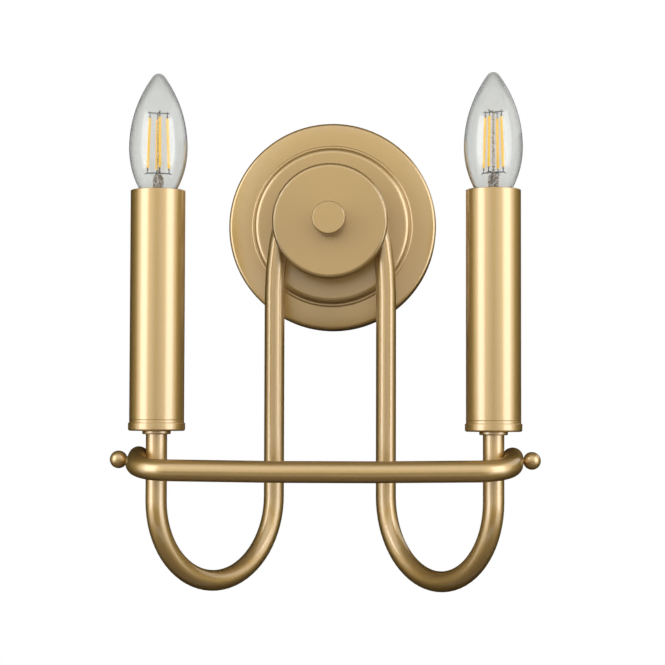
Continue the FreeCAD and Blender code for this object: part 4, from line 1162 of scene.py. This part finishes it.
def card(name, size, place, target, tone):
    """A flat studio card that faces a point and is seen in reflections only. From behind it is
    clear, so the floor under a card still shows the room."""
    rest()
    place, target = Vector(place), Vector(target)
    bpy.ops.mesh.primitive_plane_add(size=1, location=place,
                                     rotation=(target - place).to_track_quat("Z", "Y").to_euler())
    plane = named(bpy.context.object, name)
    plane.scale = (size[0], size[1], 1)
    applied(plane)

    def build(tree):
        behind = node(tree, "NewGeometry").outputs["Backfacing"]
        front = node(tree, "Emission", {"Color": colour(tone), "Strength": 1.0})
        back = node(tree, "BsdfTransparent")
        return node(tree, "MixShader", {0: behind, 1: front.outputs[0], 2: back.outputs[0]})

    plane.data.materials.append(material(name + "_cloth", build))
    for ray in ("camera", "diffuse", "transmission", "shadow"):
        setattr(plane, "visible_" + ray, False)


def softbox(name, power, size, place, target):
    """A rectangular studio light that faces a point."""
    data = bpy.data.lights.new(name, "AREA")
    data.shape = "RECTANGLE"
    data.size, data.size_y = size
    data.energy = power
    lamp = bpy.data.objects.new(name, data)
    bpy.context.scene.collection.objects.link(lamp)
    lamp.location = place
    lamp.rotation_euler = (Vector(target) - Vector(place)).to_track_quat("-Z", "Y").to_euler()
    lamp.visible_camera = False


def painted_board():
    """Board painted matt white, with a faint unevenness from the roller."""
    text = bpy.context.scene.sconce_colours.floor

    def build(tree):
        tone = speckled(tree, shade(text, 0.97), colour(text), 6 * MM)[0]
        return node(tree, "BsdfPrincipled", {"Base Color": tone, "Roughness": 0.7})

    return material("painted_board_matt", build)


class SCONCE_OT_stage(bpy.types.Operator):
    """Sets up the floor, the lights, the cards, the world and the camera"""
    bl_idname = "sconce.stage"
    bl_label = "Studio"

    def execute(self, context):
        scene = context.scene
        scene.view_settings.view_transform = "Standard"
        rest()
        floor_height = -0.8
        bpy.ops.mesh.primitive_circle_add(vertices=96, radius=1.3, fill_type="NGON",
                                          location=(0, -0.1, floor_height))
        floor = applied(named(context.object, "studio_floor"))
        floor.data.materials.append(painted_board())

        centre = Vector((0, -0.08, -0.08))

        def around(azimuth, elevation, distance):
            """A place round the sconce, at angles in degrees to the right and upwards from the front."""
            azimuth, elevation = math.radians(azimuth), math.radians(elevation)
            return centre + distance * Vector((math.sin(azimuth) * math.cos(elevation),
                                               -math.cos(azimuth) * math.cos(elevation), math.sin(elevation)))

        strip_power = 8.6
        softbox("left_strip", strip_power, (0.80, 1.4), around(-52, 12, 1.5), centre)
        softbox("right_strip", strip_power, (0.90, 1.4), around(57, 12, 1.5), centre)
        softbox("top_soft", 0.5, (1.0, 0.4), around(0, 33, 1.8), centre)
        dark, over_floor = "#1C1712", floor_height + 0.02
        card("back_card_left", (1.6, 2.8), around(-122, 0, 1.0), centre, dark)
        card("back_card_right", (1.6, 1.9), around(122, -24, 1.1), centre, dark)
        card("back_card_middle", (1.2, 0.9), around(180, -14, 1.3), centre, dark)
        card("back_card_high", (1.6, 1.1), around(180, 27, 1.3), centre, dark)
        card("floor_card", (2.6, 0.9), (0, -0.47, over_floor), (0, -0.47, 0), "#6E6252")
        card("under_card", (2.6, 1.5), (0, 0.75, over_floor), (0, 0.75, 0), dark)
        card("ceiling_card", (2.6, 1.9), (0, 0.30, 1.2), (0, 0.30, 0), "#746B60")
        card("front_card", (2.4, 1.3), around(0, -27, 1.9), centre, "#0C0A08")
        card("front_gap", (0.8, 1.5), around(0, 7, 2.2), centre, "#E6DCCD")

        world = bpy.data.worlds.new("studio_white")
        scene.world = world
        world.use_nodes = True
        tree = world.node_tree
        tree.nodes.clear()
        ray = node(tree, "LightPath").outputs
        seen = node(tree, "Math", {0: ray["Is Camera Ray"], 1: ray["Is Glossy Ray"]}, operation="MAXIMUM")
        seen = node(tree, "Math", {0: seen.outputs[0], 1: ray["Is Transmission Ray"]}, operation="MAXIMUM")
        strength = node(tree, "MapRange", {"Value": seen.outputs[0], "To Min": 0.5, "To Max": 1.0})
        background = node(tree, "Background", {"Color": (1, 1, 1, 1), "Strength": strength.outputs[0]})
        node(tree, "OutputWorld", {"Surface": background.outputs[0]})
        # The white wall of light is the same all round, so it needs no sampling of its own.
        world.cycles.sampling_method = "NONE"

        camera_data = bpy.data.cameras.new("photo_camera")
        camera_data.lens = 104.16
        camera_data.sensor_width = 36
        camera = bpy.data.objects.new("photo_camera", camera_data)
        scene.collection.objects.link(camera)
        # The camera's place and angles were fitted to edges measured in the photo.
        place, yaw, pitch, roll = (0.05203, -1.26876, -0.12231), 0.0414, 0.0426, 0.0027
        ahead = Vector((-math.sin(yaw) * math.cos(pitch), math.cos(yaw) * math.cos(pitch), math.sin(pitch)))
        right = ahead.cross(UP).normalized()
        above = right.cross(ahead)
        right, above = (right * math.cos(roll) + above * math.sin(roll),
                        above * math.cos(roll) - right * math.sin(roll))
        turn = Matrix((right, above, -ahead)).transposed()
        camera.matrix_world = Matrix.Translation(place) @ turn.to_4x4()
        scene.camera = camera
        return {"FINISHED"}


# ---------------------------------------------------------------- add-on

class SCONCE_PT_panel(bpy.types.Panel):
    """Lists the steps that build the sconce"""
    bl_idname = "SCONCE_PT_panel"
    bl_label = "Double arm wall sconce"
    bl_space_type = "VIEW_3D"
    bl_region_type = "UI"
    bl_category = "Sconce"

    def draw(self, context):
        for step in STEPS:
            self.layout.operator(step.bl_idname)
        for name in GROUPS:
            group, box = getattr(context.scene, name), self.layout.box()
            for key in group.__annotations__:
                box.prop(group, key)


GROUPS = {"sconce_wall": SconceWallSizes, "sconce_arms": SconceArmSizes,
          "sconce_candles": SconceCandleSizes, "sconce_colours": SconceColours}
STEPS = (SCONCE_OT_canopy, SCONCE_OT_tier, SCONCE_OT_disc, SCONCE_OT_arms, SCONCE_OT_hoop,
         SCONCE_OT_ball_screws, SCONCE_OT_cups, SCONCE_OT_sleeves, SCONCE_OT_holders,
         SCONCE_OT_glass, SCONCE_OT_bulb_inside, SCONCE_OT_strap, SCONCE_OT_hub, SCONCE_OT_wiring,
         SCONCE_OT_stage)


def register():
    for group in GROUPS.values():
        bpy.utils.register_class(group)
    for step in STEPS + (SCONCE_PT_panel,):
        bpy.utils.register_class(step)
    for key, group in GROUPS.items():
        setattr(bpy.types.Scene, key, PointerProperty(type=group))


def unregister():
    for key in GROUPS:
        delattr(bpy.types.Scene, key)
    for item in (SCONCE_PT_panel,) + STEPS[::-1] + tuple(GROUPS.values()):
        bpy.utils.unregister_class(item)


def main():
    register()
    for step in STEPS:
        group, action = step.bl_idname.split(".")
        getattr(getattr(bpy.ops, group), action)()


if __name__ == "__main__":
    main()
